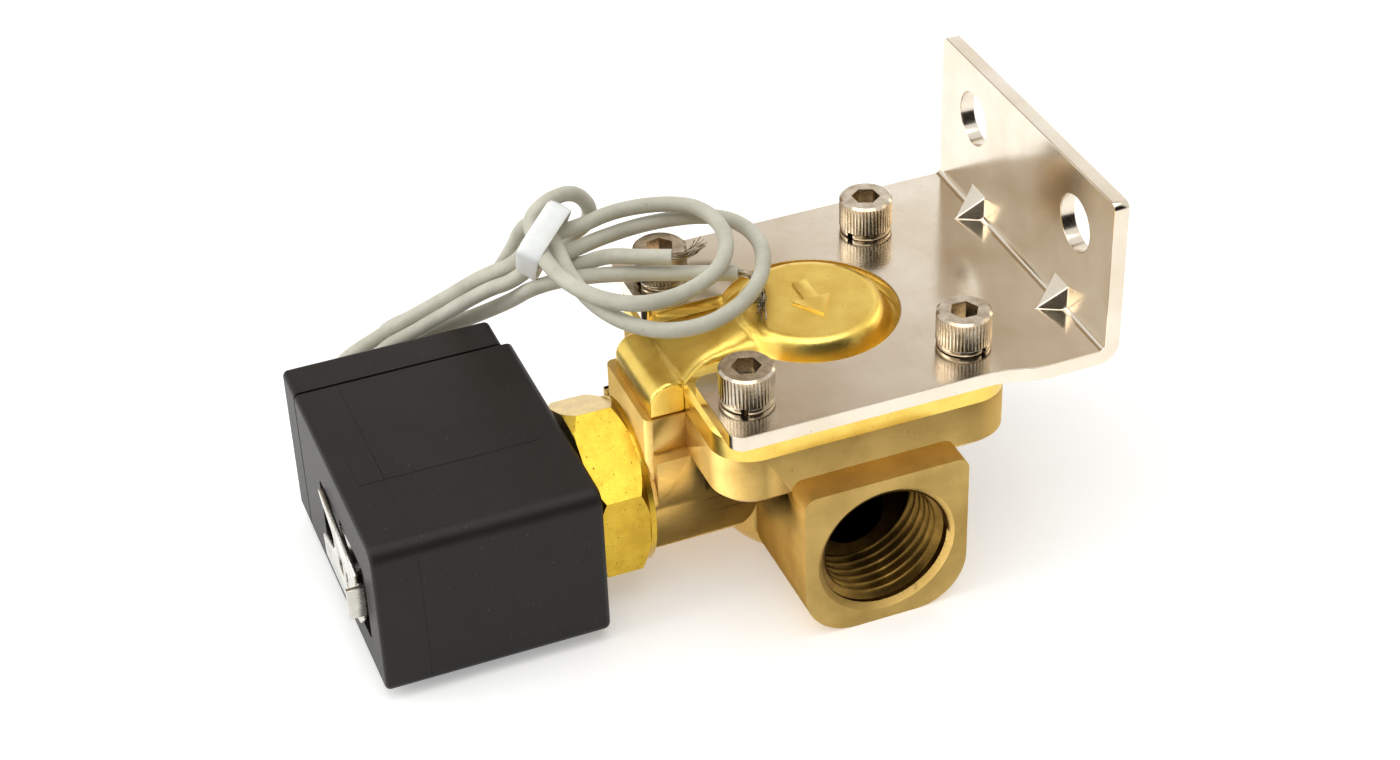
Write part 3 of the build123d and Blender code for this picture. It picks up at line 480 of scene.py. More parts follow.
lead = {
    "radius": 1.25, "aRoute": [
        (-66.5, 65.8, 6.0), (-66.5, 69.8, 6.0), (-64.6, 73.0, 6.6), (-59.7, 74.6, 7.6), (-53.9, 73.5, 10.9),
        (-47.8, 69.9, 15.7), (-41.3, 65.0, 22.1), (-37.3, 60.8, 25.4), (-35.0, 56.6, 32.2),
        (-28.6, 53.9, 34.2), (-22.3, 55.6, 34.6), (-14.4, 55.0, 34.4), (-8.6, 52.0, 34.0),
        (-7.4, 44.1, 33.6), (-11.2, 35.6, 33.6), (-18.5, 30.4, 33.8), (-26.9, 29.1, 34.2),
        (-32.9, 33.2, 34.6), (-36.2, 39.7, 35.0), (-37.0, 46.1, 35.4), (-36.6, 51.4, 35.4),
        (-36.2, 54.6, 37.6), (-32.6, 55.0, 39.9), (-28.3, 56.0, 39.6), (-25.2, 57.5, 35.4),
        (-25.0, 59.5, 30.8), (-28.6, 59.6, 29.0), (-30.5, 56.8, 27.0), (-29.8, 52.8, 27.8),
        (-26.5, 46.6, 32.8), (-22.9, 42.3, 34.0), (-18.2, 39.9, 34.2),
    ],
    "bRoute": [
        (-60.5, 65.8, 6.0), (-60.5, 69.4, 6.0), (-58.2, 70.8, 8.6), (-53.1, 71.0, 10.0),
        (-48.5, 68.5, 13.7), (-42.0, 62.6, 20.8), (-38.2, 58.6, 23.9), (-34.4, 55.4, 29.4),
        (-30.9, 52.2, 31.2), (-25.0, 53.8, 31.4), (-16.8, 54.9, 31.4), (-7.3, 54.3, 30.8),
        (-2.8, 49.1, 31.2), (-2.7, 39.7, 31.8), (-7.8, 30.0, 32.0), (-15.5, 24.7, 31.6),
        (-23.5, 24.6, 31.2), (-29.4, 29.2, 31.2), (-32.8, 36.2, 31.8), (-33.8, 44.1, 32.8),
        (-33.6, 51.0, 34.8), (-34.4, 56.2, 35.7), (-35.8, 60.4, 32.4), (-36.4, 64.2, 26.4),
        (-38.6, 69.5, 18.0), (-42.9, 76.0, 11.8), (-47.3, 81.5, 6.4), (-51.2, 84.5, 3.6),
        (-55.0, 83.0, 3.5), (-55.7, 78.5, 4.8), (-52.7, 75.0, 6.3), (-47.7, 72.5, 8.7), (-41.9, 68.0, 12.7),
        (-37.5, 62.5, 17.8), (-36.8, 56.8, 22.8), (-34.0, 52.0, 26.6), (-29.5, 47.5, 29.2),
        (-23.8, 42.9, 30.9), (-16.5, 39.5, 31.0), (-8.7, 37.0, 30.4),
    ],
    "aLength": 0.1973, "bLength": 0.2779,
}
strands = {
    # each goes on from the lead's last point
    "aRoute": [(-16.8, 39.2, 34.3), (-14.8, 39.6, 34.4), (-12.2, 41.0, 34.5)],
    "bRoute": [(-7.0, 36.4, 30.3), (-6.4, 34.2, 29.6), (-7.0, 30.6, 29.1), (-8.6, 25.6, 29.0)],
    "wires": 34, "wireRadius": 0.09, "bundleRadius": 0.7, "aSeed": 5, "bSeed": 6,
    # where a wire starts in the bundle, and how short it may be cut
    "turnSpread": 0.3, "fill": (0.1, 1.0), "reach": (0.6, 1.02),
    # how far it leans out towards its end, less for every second wire, and how much it wanders
    "leanSides": (1, 1, 0.8), "lean": 0.6, "strictLean": 0.25, "wander": 0.22,
    # the bundle's thickness along the lead, and at its start as a share of that at its end
    "bundleDepth": 0.4, "neck": 0.7,
}


def newCurve(name, radius, facets):
    curve = bpy.data.curves.new(name, "CURVE")
    curve.dimensions = "3D"
    curve.bevel_depth = mm(radius)
    curve.bevel_resolution = facets
    return curve


def addSpline(curve, places, steps):
    spline = curve.splines.new("NURBS")
    spline.points.add(len(places) - 1)
    for point, place in zip(spline.points, places):
        point.co = (*mm(*place), 1)
    spline.order_u = 3
    spline.use_endpoint_u = True
    spline.resolution_u = steps


def frayedEnd(name, route, seed):
    # Fine bare wires that leave the cut lead together and spread apart
    draw = random.Random(seed)
    curve = newCurve(name, strands["wireRadius"], 1)
    for wire in range(strands["wires"]):
        angle = tau * wire / strands["wires"] + draw.uniform(-strands["turnSpread"], strands["turnSpread"])
        offset = strands["bundleRadius"] * sqrt(draw.uniform(*strands["fill"]))
        lean = Vector([draw.gauss(0, side) for side in strands["leanSides"]])
        reach = draw.uniform(*strands["reach"])
        if wire % 2:
            lean *= strands["strictLean"]
        places = []
        for step, place in enumerate(route):
            along = step / (len(route) - 1)
            base = Vector(route[0]).lerp(Vector(place), reach if along == 1 else 1.0)
            width = offset * (strands["neck"] + (1 - strands["neck"]) * along)
            side = Vector((cos(angle) * strands["bundleDepth"], cos(angle), sin(angle))) * width
            wander = Vector([draw.gauss(0, 1) for _ in range(3)]) * strands["wander"] * along
            places.append(base + side + lean * along ** 2 * strands["lean"] + wander)
        addSpline(curve, places, 5)
    selectOnly(newObject(name, curve))
    ops.object.convert(target="MESH")
    return bpy.context.object


def layLead(letter):
    name = "lead_" + letter + "_sheath"
    curve = newCurve(name, lead["radius"], 6)
    curve.use_fill_caps = True
    addSpline(curve, lead[letter + "Route"], 10)
    return finishPiece(newObject(name, curve), "lead_jacket", ["lead_" + letter])


def endLead(letter):
    route = lead[letter + "Route"][-1:] + strands[letter + "Route"]
    wires = frayedEnd("lead_" + letter + "_wires", route, strands[letter + "Seed"])
    node = "lead_" + letter + "_strands"
    finishPiece(wires, "tinned_copper", [node], smoothAngle=60)


# Tools for solid pieces

nearly = 0.01  # how close a point has to be, in millimetres, to count as lying on a face
flat = 0.9  # a face whose normal runs this far up or down lies flat
beyond = 1  # how far a cutter reaches past the form that it cuts
weld = 0.002  # points that lie closer together than this are one


def selectOnlyWhere(piece, kind, test):
    # Enters edit mode with only the points, edges or faces selected that pass the test. It gets places in
    # millimetres: a point's own, those of an edge's two ends, or a face's middle and its normal
    editAll(piece)
    ops.mesh.select_mode(type=kind)
    ops.mesh.select_all(action="DESELECT")
    leaveEdit()
    points = [point.co * 1000 for point in piece.data.vertices]
    if kind == "VERT":
        found = [(point, (at,)) for point, at in zip(piece.data.vertices, points)]
    elif kind == "EDGE":
        found = [(edge, [points[end] for end in edge.vertices]) for edge in piece.data.edges]
    else:
        found = [(face, (face.center * 1000, face.normal)) for face in piece.data.polygons]
    for part, places in found:
        part.select = test(*places)
    ops.object.mode_set(mode="EDIT")


def meshPiece(name, points, edges, faces):
    # New piece from points in millimetres
    mesh = bpy.data.meshes.new(name)
    mesh.from_pydata([mm(*point) for point in points], edges, faces)
    return newObject(name, mesh)


def turnOutward(piece, gap=0):
    # Makes the faces point outward; points closer than the gap become one first
    editAll(piece)
    if gap:
        ops.mesh.remove_doubles(threshold=mm(gap))
    ops.mesh.normals_make_consistent(inside=False)
    leaveEdit()


def combine(piece, other, how):
    # Boolean of the piece with another, which is used up
    step = piece.modifiers.new("combine", "BOOLEAN")
    step.object = other
    step.operation = how
    step.solver = "EXACT"
    applyModifiers(piece)
    bpy.data.objects.remove(other)


def cutAway(piece, cutter):
    combine(piece, cutter, "DIFFERENCE")


def fuse(piece, other):
    combine(piece, other, "UNION")


def addCylinder(name, radius, low, high, sides, place=(0, 0)):
    ops.mesh.primitive_cylinder_add(
        vertices=sides, radius=mm(radius), depth=mm(high - low), location=mm(*place, (low + high) / 2)
    )
    piece = bpy.context.object
    piece.name = name
    settle(piece)
    return piece


def addBlock(name, low, high):
    # Block between two corners in millimetres
    low, high = Vector(low), Vector(high)
    ops.mesh.primitive_cube_add(size=1, location=mm(*((low + high) / 2)))
    piece = bpy.context.object
    piece.name = name
    piece.scale = mm(*(high - low))
    settle(piece)
    return piece


def addRod(name, radius, start, end, sides=64):
    # Cylinder between two points in millimetres
    start, end = Vector(start), Vector(end)
    piece = addCylinder(name, radius, -(end - start).length / 2, (end - start).length / 2, sides)
    piece.rotation_euler = (end - start).to_track_quat("Z", "Y").to_euler()
    piece.location = mm(*((start + end) / 2))
    settle(piece)
    return piece


def onPlane(axis, level):
    # Test for edges that lie on a plane across this axis
    return lambda a, b: max(abs(a[axis] - level), abs(b[axis] - level)) < nearly


def roundEdges(piece, test, radius, segments=5):
    selectOnlyWhere(piece, "EDGE", test)
    ops.mesh.bevel(offset=mm(radius), segments=segments, profile=0.5, clamp_overlap=True)
    leaveEdit()


def arc(start, corner, end, count):
    # Smooth corner: points on the curve from start to end that the corner draws in
    start, corner, end = Vector(start), Vector(corner), Vector(end)
    shares = [step / (count - 1) for step in range(count)]
    return [start * (1 - t) ** 2 + corner * 2 * t * (1 - t) + end * t ** 2 for t in shares]


def lathe(name, profile, steps, place):
    # Solid turned about an upright axis; the profile runs from axis to axis as radius and height
    points = [(radius, 0, height) for radius, height in profile]
    piece = meshPiece(name, points, [(i, i + 1) for i in range(len(points) - 1)], [])
    turn = piece.modifiers.new("turn", "SCREW")
    turn.steps = steps
    turn.render_steps = steps
    turn.use_merge_vertices = True
    turn.merge_threshold = mm(weld)
    applyModifiers(piece)
    piece.location = mm(*place, 0)
    settle(piece)
    turnOutward(piece, weld)
    return piece


def sectionSolid(name, sections):
    # Solid through closed sections that all have the same number of points
    count = len(sections[0])
    points = [point for section in sections for point in section]
    faces = [tuple(range(count)), tuple(reversed(range(len(points) - count, len(points))))]
    for row in range(len(sections) - 1):
        for column in range(count):
            after = (column + 1) % count
            low, high = row * count, (row + 1) * count
            faces.append((low + column, high + column, high + after, low + after))
    piece = meshPiece(name, points, [], faces)
    turnOutward(piece)
    return piece


def shadeFaces(piece, material, test):
    # Gives the faces that pass the test a second finish
    piece.data.materials.append(material)
    last = len(piece.data.materials) - 1
    for face in piece.data.polygons:
        if test(face.center * 1000):
            face.material_index = last


# Rigid pieces that keep the CAD's form and get worked edges

def cadCopy(node, pieceName, flatten=0.6):
    # A copy of a CAD node with its facets merged
    piece = newObject(pieceName, nodes[node].data.copy())
    editAll(piece)
    ops.mesh.remove_doubles(threshold=mm(weld))
    ops.mesh.dissolve_limited(angle_limit=radians(flatten))
    leaveEdit()
    return piece


def breakEdges(piece, width, segments=2, angle=30):
    # Breaks the sharp edges as casting, forging or tumbling does, after any step that still waits
    bevel = piece.modifiers.new("brokenEdges", "BEVEL")
    bevel.width = mm(width)
    bevel.segments = segments
    bevel.limit_method = "ANGLE"
    bevel.angle_limit = radians(angle)
    bevel.use_clamp_overlap = True
    applyModifiers(piece)
    return piece


dressedPieces = [
    {"node": "mounting_bracket", "name": "bracket_pressing", "bevel": 0.35, "slot": "plated_steel"},
    {"node": "tube_nut", "name": "tube_nut_turned", "bevel": 0.25, "slot": "turned_brass"},
]
for given in dressedPieces:
    piece = breakEdges(cadCopy(given["node"], given["name"]), given["bevel"])
    finishPiece(piece, given["slot"], [given["node"]], flats=True)
    print(given["name"], "dressed", len(piece.data.polygons), "faces")


# Retaining clip, and the pole piece that it grips

clip = {
    "faces": (-77.35, -76.6), "edge": 0.14, "cutFaces": (-80, -70),
    "outline": [
        (19.0, 3.6), (21.0, 4.2), (26.4, 5.0), (32.4, 6.0), (40.6, 7.2), (41.0, 6.8), (39.0, 5.4),
        (34.5, 3.4), (33.8, 2.4), (33.8, 0.8), (35.0, -0.4), (41.2, -1.9), (41.6, -2.6), (41.0, -6.0),
        (34.8, -6.2), (28.0, -6.0), (21.0, -4.4), (19.0, -2.3),
    ],
    "windows": (((26.6, -2.2), (28.6, 0.9)), ((29.3, -1.6), (32.2, 1.0)), ((20.3, 1.6), (21.6, 6.0))),
    "tab": {"low": (-79.3, 18.6, -1.2), "high": (-75.9, 19.5, 4.2)},
    # what is cut off the pole piece's end
    "poleStub": {"low": (-90, 0, -30), "high": (-76.3, 60, 30)},
}


def retainingClip():
    sections = [[(x, y, z) for y, z in clip["outline"]] for x in clip["faces"]]
    piece = sectionSolid("clip_strip", sections)
    left, right = clip["cutFaces"]
    for low, high in clip["windows"]:
        cutAway(piece, addBlock("opening", (left, *low), (right, *high)))
    fuse(piece, addBlock("tab", **clip["tab"]))
    breakEdges(piece, clip["edge"], angle=40)
    finishPiece(piece, "spring_steel", ["retaining_clip"])
    pole = cadCopy("fixed_core", "pole_piece")
    cutAway(pole, addBlock("stub", **clip["poleStub"]))
    breakEdges(pole, clip["edge"], angle=40)
    finishPiece(pole, "turned_steel", ["fixed_core"])


retainingClip()
print("clip fitted")


# Body forging

forging = {
    "faceToFace": 58.4, "boreRadius": 10.48, "mouthRadius": 11.35, "mouthDepth": 0.9, "sides": 96,
    "edge": 0.4, "tongue": {"low": (-30.5, 38.4, 1.5), "high": (-21.8, 40.2, 13.0)},
    # the painted shade in the bore starts this far behind the mouth, and takes in this much more than the
    # bore's radius
    "paintedShadeFrom": 0.3, "paintedShadeSlack": 0.05,
}


def bodyForging():
    piece = cadCopy("valve_body", "body_forging")
    fuse(piece, addBlock("tongue", **forging["tongue"]))
    for mouthY, inward in ((0.0, 1), (forging["faceToFace"], -1)):
        cone = lathe("mouth", [
            (0, -beyond), (forging["mouthRadius"] + beyond, -beyond),
            (forging["boreRadius"], forging["mouthDepth"]), (0, forging["mouthDepth"]),
        ], forging["sides"], (0, 0))
        cone.rotation_euler = (-inward * pi / 2, 0, 0)
        cone.location = mm(0, mouthY, 0)
        settle(cone)
        cutAway(piece, cone)
    breakEdges(piece, forging["edge"])
    finishPiece(piece, "forged_brass", ["valve_body"])

    def inPort(at):
        inward = min(at.y, forging["faceToFace"] - at.y)
        inBore = Vector((at.x, at.z)).length < forging["boreRadius"] + forging["paintedShadeSlack"]
        return inBore and inward > forging["mouthDepth"] + forging["paintedShadeFrom"]

    # faces deep in the ports get the darker brass, which is painted shade
    shadeFaces(piece, made["boredBrass"], inPort)
    print("body forged", len(piece.data.polygons), "faces")


bodyForging()


# Bonnet: clamping plate with the spring dome, the ridge over the pilot and the saddle between them

bonnet = {
    "middleY": 29.2, "topZ": 23.5, "plateEdge": 0.55, "plateLeft": -23.95, "edge": 0.16,
    "domeBase": 12.7, "domeTop": 11.2, "domeZ": 27.9, "rim": 1.2, "foot": 1.2, "collar": 15.0,
    "pocketRadius": 6.2, "pocketFrom": 20, "pocketZ": 25.9, "sides": 96, "pocketSides": 64,
    # what is cut off the solid: all above this height, and all left of the plate's end above the next one
    "cutAbove": 23.48, "cutLeftAbove": 10, "cutReach": (40, 60, 40),
    "saddleY": 30.6, "saddleFarY": 36.2, "saddleLowZ": 22.9,
    # the saddle's cross section: an arch with this many steps, its shoulders filled out by these powers
    "saddleSteps": 16, "sidePower": 0.75, "crestPower": 0.65,
    # along X: half width and crest height
    "saddle": [
        (-6.5, 9.0, 27.4), (-9.5, 8.2, 27.3), (-12.0, 6.8, 26.7), (-14.5, 5.7, 25.8), (-17.0, 5.3, 25.1),
        (-19.5, 5.8, 24.7), (-21.6, 7.1, 24.4), (-23.4, 8.9, 24.2), (-25.0, 9.4, 24.1),
    ],
    "ridge": {"low": (-29.5, 21.3, 19.0), "high": (-23.9, 36.6, 24.6), "round": 3.4, "fall": 0.9},
    # the skin's grain, and how often and how strongly it is smoothed
    "grain": 0.3, "blend": 9, "blendShare": 0.5,
    "arrow": {
        "length": 9.7, "headWidth": 6.2, "headLength": 4.8, "shaft": 2.4, "raise": 0.3, "x": 0.4,
        "sunk": 0.5, "overlap": 0.2,
    },
}


def saddleForm():
    sections = []
    for x, halfWidth, crest in bonnet["saddle"]:
        section = []
        for step in range(bonnet["saddleSteps"] + 1):
            angle = pi * step / bonnet["saddleSteps"]
            c, h = cos(angle), sin(angle)
            side = (abs(c) ** bonnet["sidePower"]) * (1 if c > 0 else -1)
            y = min(bonnet["saddleY"] + halfWidth * side, bonnet["saddleFarY"])
            rise = (crest - bonnet["saddleLowZ"]) * h ** bonnet["crestPower"]
            section.append((x, y, bonnet["saddleLowZ"] + rise))
        sections.append(section)
    return sectionSolid("saddle", sections)


def bonnetTop():
    # Dome, saddle and ridge in one skin, with the soft hollows of a forging where they meet
    topZ, low = bonnet["topZ"], bonnet["saddleLowZ"]
    base, top = bonnet["domeBase"], bonnet["domeTop"]
    side = Vector((top - base, bonnet["domeZ"] - topZ)).normalized()
    foot = arc((base + bonnet["foot"], topZ), (base, topZ), Vector((base, topZ)) + side * bonnet["foot"], 5)
    rimTop = Vector((top, bonnet["domeZ"]))
    rim = arc(rimTop - side * bonnet["rim"], rimTop, rimTop - Vector((bonnet["rim"], 0)), 6)
    profile = [(0, low), (bonnet["collar"], low), (bonnet["collar"], topZ)]
    profile += [tuple(at) for at in foot + rim] + [(0, bonnet["domeZ"])]
    piece = lathe("bonnet_top", profile, bonnet["sides"], (0, bonnet["middleY"]))
    fuse(piece, saddleForm())
    ridge = bonnet["ridge"]
    block = addBlock("ridge", ridge["low"], ridge["high"])
    onTop = onPlane(2, ridge["high"][2])
    for x, radius, segments in ((ridge["low"][0], ridge["round"], 8), (ridge["high"][0], ridge["fall"], 4)):
        onSide = onPlane(0, x)
        roundEdges(block, lambda a, b: onTop(a, b) and onSide(a, b), radius, segments)
    fuse(piece, block)
    skin = piece.modifiers.new("skin", "REMESH")
    skin.mode = "VOXEL"
    skin.voxel_size = mm(bonnet["grain"])
    soften = piece.modifiers.new("soften", "SMOOTH")
    soften.factor = bonnet["blendShare"]
    soften.iterations = bonnet["blend"]
    applyModifiers(piece)
    return piece


def flowArrow():
    arrow = bonnet["arrow"]
    tail, head = arrow["length"] / 2, arrow["headWidth"] / 2
    neck = -tail + arrow["headLength"]
    half = arrow["shaft"] / 2
    low, high = bonnet["domeZ"] - arrow["sunk"], bonnet["domeZ"] + arrow["raise"]
    x, y = arrow["x"], bonnet["middleY"]
    outline = [(x - head, y + neck), (x, y - tail), (x + head, y + neck)]
    point = sectionSolid("arrow_head", [[(*at, z) for at in outline] for z in (low, high)])
    start = (x - half, y + neck - arrow["overlap"], low)
    fuse(point, addBlock("arrow_shaft", start, (x + half, y + tail, high)))
    return point


def bonnetForging():
    piece = cadCopy("bonnet", "bonnet_forging")
    x, y, z = bonnet["cutReach"]
    cutAway(piece, addBlock("above", (-x, 0, bonnet["cutAbove"]), (x, y, z)))
    cutAway(piece, addBlock("left", (-x, 0, bonnet["cutLeftAbove"]), (bonnet["plateLeft"], y, z)))
    breakEdges(piece, bonnet["plateEdge"], 3)
    upper = bonnetTop()
    cutAway(upper, addCylinder(
        "pocket", bonnet["pocketRadius"], bonnet["pocketFrom"], bonnet["pocketZ"], bonnet["pocketSides"],
        (0, bonnet["middleY"]),
    ))
    fuse(piece, upper)
    fuse(piece, flowArrow())
    breakEdges(piece, bonnet["edge"], angle=40)
    finishPiece(piece, "forged_brass", ["bonnet"], smoothAngle=38, material=made["tumbledBrass"])
    print("bonnet forged", len(piece.data.polygons), "faces")


bonnetForging()


# Coil housing and lid

housing = {
    "low": (-76.5, 12.1, -11.6), "high": (-40.6, 54.9, 15.1), "topRound": 2.6, "lowRound": 1.4,
    "endRound": 0.8, "rightRound": 1.1, "endWall": 2.5, "wall": 2.4,
    "boreRadius": 6.3, "boreY": 31.2, "boreZ": 1.5,
    "recess": {"low": (-77.5, 18.2, -5.9), "high": (-75.4, 43.2, 7.3), "round": 1.2},
    "band": {"low": (-73.4, 28.6, 14.0), "high": (-44.8, 35.6, 15.16)},
    "lineX": -69.4, "lineWidth": 0.16, "lineDepth": 0.05, "lineCutTop": 20, "edge": 0.1,
}
lid = {
    "low": (-76.5, 55.4, -11.6), "high": (-42.1, 62.8, 15.1), "round": 1.0, "wall": 2.0, "inset": 2.5,
    "holes": (-66.5, -60.5), "holeZ": 6.0, "holeRadius": 2.05, "holeSides": 32, "edge": 0.1,
    # the part of the solid lid that is kept, for its lip
    "lipPart": {"low": (-100, 40, -20), "high": (-30, 57.4, 20)},
}


def housingShell():
    low, high = housing["low"], housing["high"]
    piece = addBlock("housing_shell", low, high)
    onFront = onPlane(1, low[1])
    for z, radius, segments in ((high[2], housing["topRound"], 7), (low[2], housing["lowRound"], 5)):
        atLevel = onPlane(2, z)
        roundEdges(piece, lambda a, b: onFront(a, b) and atLevel(a, b), radius, segments)
    for x, radius in ((low[0], housing["endRound"]), (high[0], housing["rightRound"])):
        onEnd = onPlane(0, x)
        # all but the edge at the open back
        roundEdges(piece, lambda a, b: onEnd(a, b) and (a.y + b.y) / 2 < high[1] - nearly, radius, 4)
    fuse(piece, addBlock("band", **housing["band"]))
    half = housing["lineWidth"] / 2
    left, right = housing["lineX"] - half, housing["lineX"] + half
    topCut, lineTop = high[2] - housing["lineDepth"], housing["lineCutTop"]
    cutAway(piece, addBlock("topLine", (left, 0, topCut), (right, high[1] + beyond, lineTop)))
    frontCut = low[1] + housing["lineDepth"]
    cutAway(piece, addBlock("frontLine", (left, 0, low[2] - beyond), (right, frontCut, lineTop)))
    inner = addBlock(
        "inner", (low[0] + housing["endWall"], low[1] + housing["wall"], low[2] + housing["wall"]),
        (high[0] - housing["wall"], high[1] + beyond, high[2] - housing["wall"]),
    )
    cutAway(piece, inner)
    recess = addBlock("recess", housing["recess"]["low"], housing["recess"]["high"])
    roundEdges(recess, lambda a, b: abs(a.x - b.x) > nearly, housing["recess"]["round"], 5)
    cutAway(piece, recess)
    left, right = [(x, housing["boreY"], housing["boreZ"]) for x in (low[0] - beyond, high[0] + beyond)]
    cutAway(piece, addRod("bore", housing["boreRadius"], left, right))
    breakEdges(piece, housing["edge"], angle=40)
    finishPiece(piece, "black_moulding", ["coil_housing"], flats=True)


def lidShell():
    low, high = lid["low"], lid["high"]
    piece = addBlock("lid_shell", low, high)
    roundEdges(piece, lambda a, b: (a.y + b.y) / 2 > low[1] + nearly, lid["round"], 5)
    inset = lid["inset"]
    innerHigh = (high[0] - inset, high[1] - lid["wall"], high[2] - inset)
    cutAway(piece, addBlock("inner", (low[0] + inset, low[1] - beyond, low[2] + inset), innerHigh))
    lip = cadCopy("coil_lid", "lip")
    combine(lip, addBlock("lipPart", **lid["lipPart"]), "INTERSECT")
    fuse(piece, lip)
    for x in lid["holes"]:
        start = (x, high[1] - lid["wall"] - beyond, lid["holeZ"])
        end = (x, high[1] + beyond, lid["holeZ"])
        cutAway(piece, addRod("hole", lid["holeRadius"], start, end, lid["holeSides"]))
    breakEdges(piece, lid["edge"], angle=40)
    finishPiece(piece, "black_moulding", ["coil_lid"], flats=True)


housingShell()
lidShell()
print("housing moulded")


# Port threads

thread = {
    "pitch": 1.814, "root": 10.5, "depth": 1.15, "first": 1.25, "turns": 6.3, "fade": 0.3,
    # places per turn and across the ridge, and the power that fills out its flanks
    "steps": 72, "columns": 9, "flankPower": 0.8,
}


def portThread(name, mouthY, inward):
    # Ridge of the pipe thread, screwed into the port from its mouth, fading in and out at its ends
    rows = round(thread["turns"] * thread["steps"])
    sections = []
    for row in range(rows + 1):
        turn = row / thread["steps"]
        angle = tau * turn
        height = min(1.0, turn / thread["fade"], (thread["turns"] - turn) / thread["fade"])
        section = []
        for column in range(thread["columns"]):
            share = column / (thread["columns"] - 1)
            swell = (0.5 - 0.5 * cos(tau * share)) ** thread["flankPower"]
            radius = thread["root"] - thread["depth"] * swell * height
            along = thread["first"] + thread["pitch"] * (turn + share - 0.5)
            section.append((radius * cos(angle), along, radius * sin(angle)))
        sections.append(section)
    piece = sectionSolid(name, sections)
    if inward < 0:
        piece.rotation_euler = (0, 0, pi)
    piece.location = mm(0, mouthY, 0)
    settle(piece)
    # the thread ridges get the darker brass too: painted shade inside the port
    return finishPiece(piece, "forged_brass", smoothAngle=50, material=made["boredBrass"])


portThread("outlet_thread", 0.0, 1)
portThread("inlet_thread", forging["faceToFace"], -1)
print("ports threaded")


# Cap screws and spring washers

screwHead = {
    "radius": 4.25, "height": 4.9, "ridges": 50, "ridgeDepth": 0.15, "knurlFrom": 1.0, "knurlTo": 4.3,
    "rim": 0.4, "rimDrop": 0.32, "socket": 4.0, "socketDepth": 2.6, "turns": (12, 41, 27, 5),
    "shankRadius": 2.4, "shankLength": 16.0, "shankOverlap": 0.2, "shankSides": 32,
    "tipInset": 0.5, "tipDrop": 0.3,
}
springWasher = {
    "inner": 2.75, "outer": 4.15, "thickness": 0.9, "slit": 14, "rise": 0.12, "steps": 60, "edge": 0.12,
    "weld": 0.001, "turns": (250, 200, 300, 215),
}
fastening = {"seatZ": 27.1, "plateTopZ": 26.0, "washerLift": 0.05, "pitch": 35.4, "middleY": 29.2}


def capScrew():
    # Socket-head cap screw, its head's underside at the origin: plain rims, knurled side, hexagon socket
    head = screwHead
    columns = head["ridges"] * 2
    piece = addCylinder("cap_screw", head["radius"], 0, head["height"], columns)
    selectOnlyWhere(piece, "FACE", lambda middle, normal: normal.z > flat)
    ops.mesh.inset(thickness=mm(head["rim"]))
    leaveEdit()

    def onRim(at):
        return at.xy.length > head["radius"] - nearly

    selectOnlyWhere(piece, "VERT", lambda at: at.z > head["height"] - nearly and onRim(at))
    ops.transform.translate(value=(0, 0, -mm(head["rimDrop"])))
    leaveEdit()
    for level in (head["knurlFrom"], head["knurlTo"]):
        editAll(piece)
        ops.mesh.bisect(plane_co=mm(0, 0, level), plane_no=(0, 0, 1))
        leaveEdit()

    def inGroove(at):
        column = round(atan2(at.y, at.x) / tau * columns)
        inBand = head["knurlFrom"] - nearly < at.z < head["knurlTo"] + nearly
        return column % 2 == 0 and inBand and onRim(at)

    selectOnlyWhere(piece, "VERT", inGroove)
    shrink = 1 - head["ridgeDepth"] / head["radius"]
    ops.transform.resize(value=(shrink, shrink, 1), center_override=(0, 0, 0))
    leaveEdit()
    floor = head["height"] - head["socketDepth"]
    cutAway(piece, addCylinder("socket", head["socket"] / sqrt(3), floor, head["height"] + beyond, 6))
    low, high = -head["shankLength"], head["shankOverlap"]
    shank = addCylinder("shank", head["shankRadius"], low, high, head["shankSides"])
    selectOnlyWhere(shank, "FACE", lambda middle, normal: normal.z < -flat)
    ops.mesh.inset(thickness=mm(head["tipInset"]))
    ops.transform.translate(value=(0, 0, -mm(head["tipDrop"])))
    leaveEdit()
    selectOnly(piece, shank)
    ops.object.join()
    return piece


def splitWasher():
    # Spring washer: a flat ring whose ends stand a little apart at the slit, its underside at the origin
    washer = springWasher
    inner, outer, top = washer["inner"], washer["outer"], washer["thickness"]
    points = [(inner, 0, 0), (outer, 0, 0), (outer, 0, top), (inner, 0, top)]
    piece = meshPiece("spring_washer", points, [], [(0, 1, 2, 3)])
    turn = piece.modifiers.new("ring", "SCREW")
    turn.angle = radians(360 - washer["slit"])
    turn.screw_offset = mm(washer["rise"])
    turn.steps = washer["steps"]
    turn.render_steps = washer["steps"]
    applyModifiers(piece)
    editAll(piece)
    ops.mesh.remove_doubles(threshold=mm(washer["weld"]))
    ops.mesh.select_all(action="DESELECT")
    ops.mesh.select_mode(type="EDGE")
    ops.mesh.select_non_manifold()
    ops.mesh.edge_face_add()
    leaveEdit()
    turnOutward(piece)
    return breakEdges(piece, washer["edge"], angle=40)


def placeCopies(pattern, namePrefix, height, node, turns):
    # One copy at each of the four screw places, each with its own mesh and turn
    half = fastening["pitch"] / 2
    places = [(x, y) for x in (-half, half) for y in (-half, half)]
    for count, ((x, y), turn) in enumerate(zip(places, turns), start=1):
        piece = newObject(namePrefix + str(count), pattern.data.copy())
        piece.rotation_euler = (0, 0, radians(turn))
        piece.location = mm(x, fastening["middleY"] + y, height)
        settle(piece)
        finishPiece(piece, "plated_screw", [node])
    bpy.data.objects.remove(pattern)


placeCopies(capScrew(), "cap_screw_", fastening["seatZ"], "bonnet_screws", screwHead["turns"])
washerZ = fastening["plateTopZ"] + fastening["washerLift"]
placeCopies(splitWasher(), "spring_washer_", washerZ, "spring_washers", springWasher["turns"])
print("screws and washers fitted")


# Tie round the leads

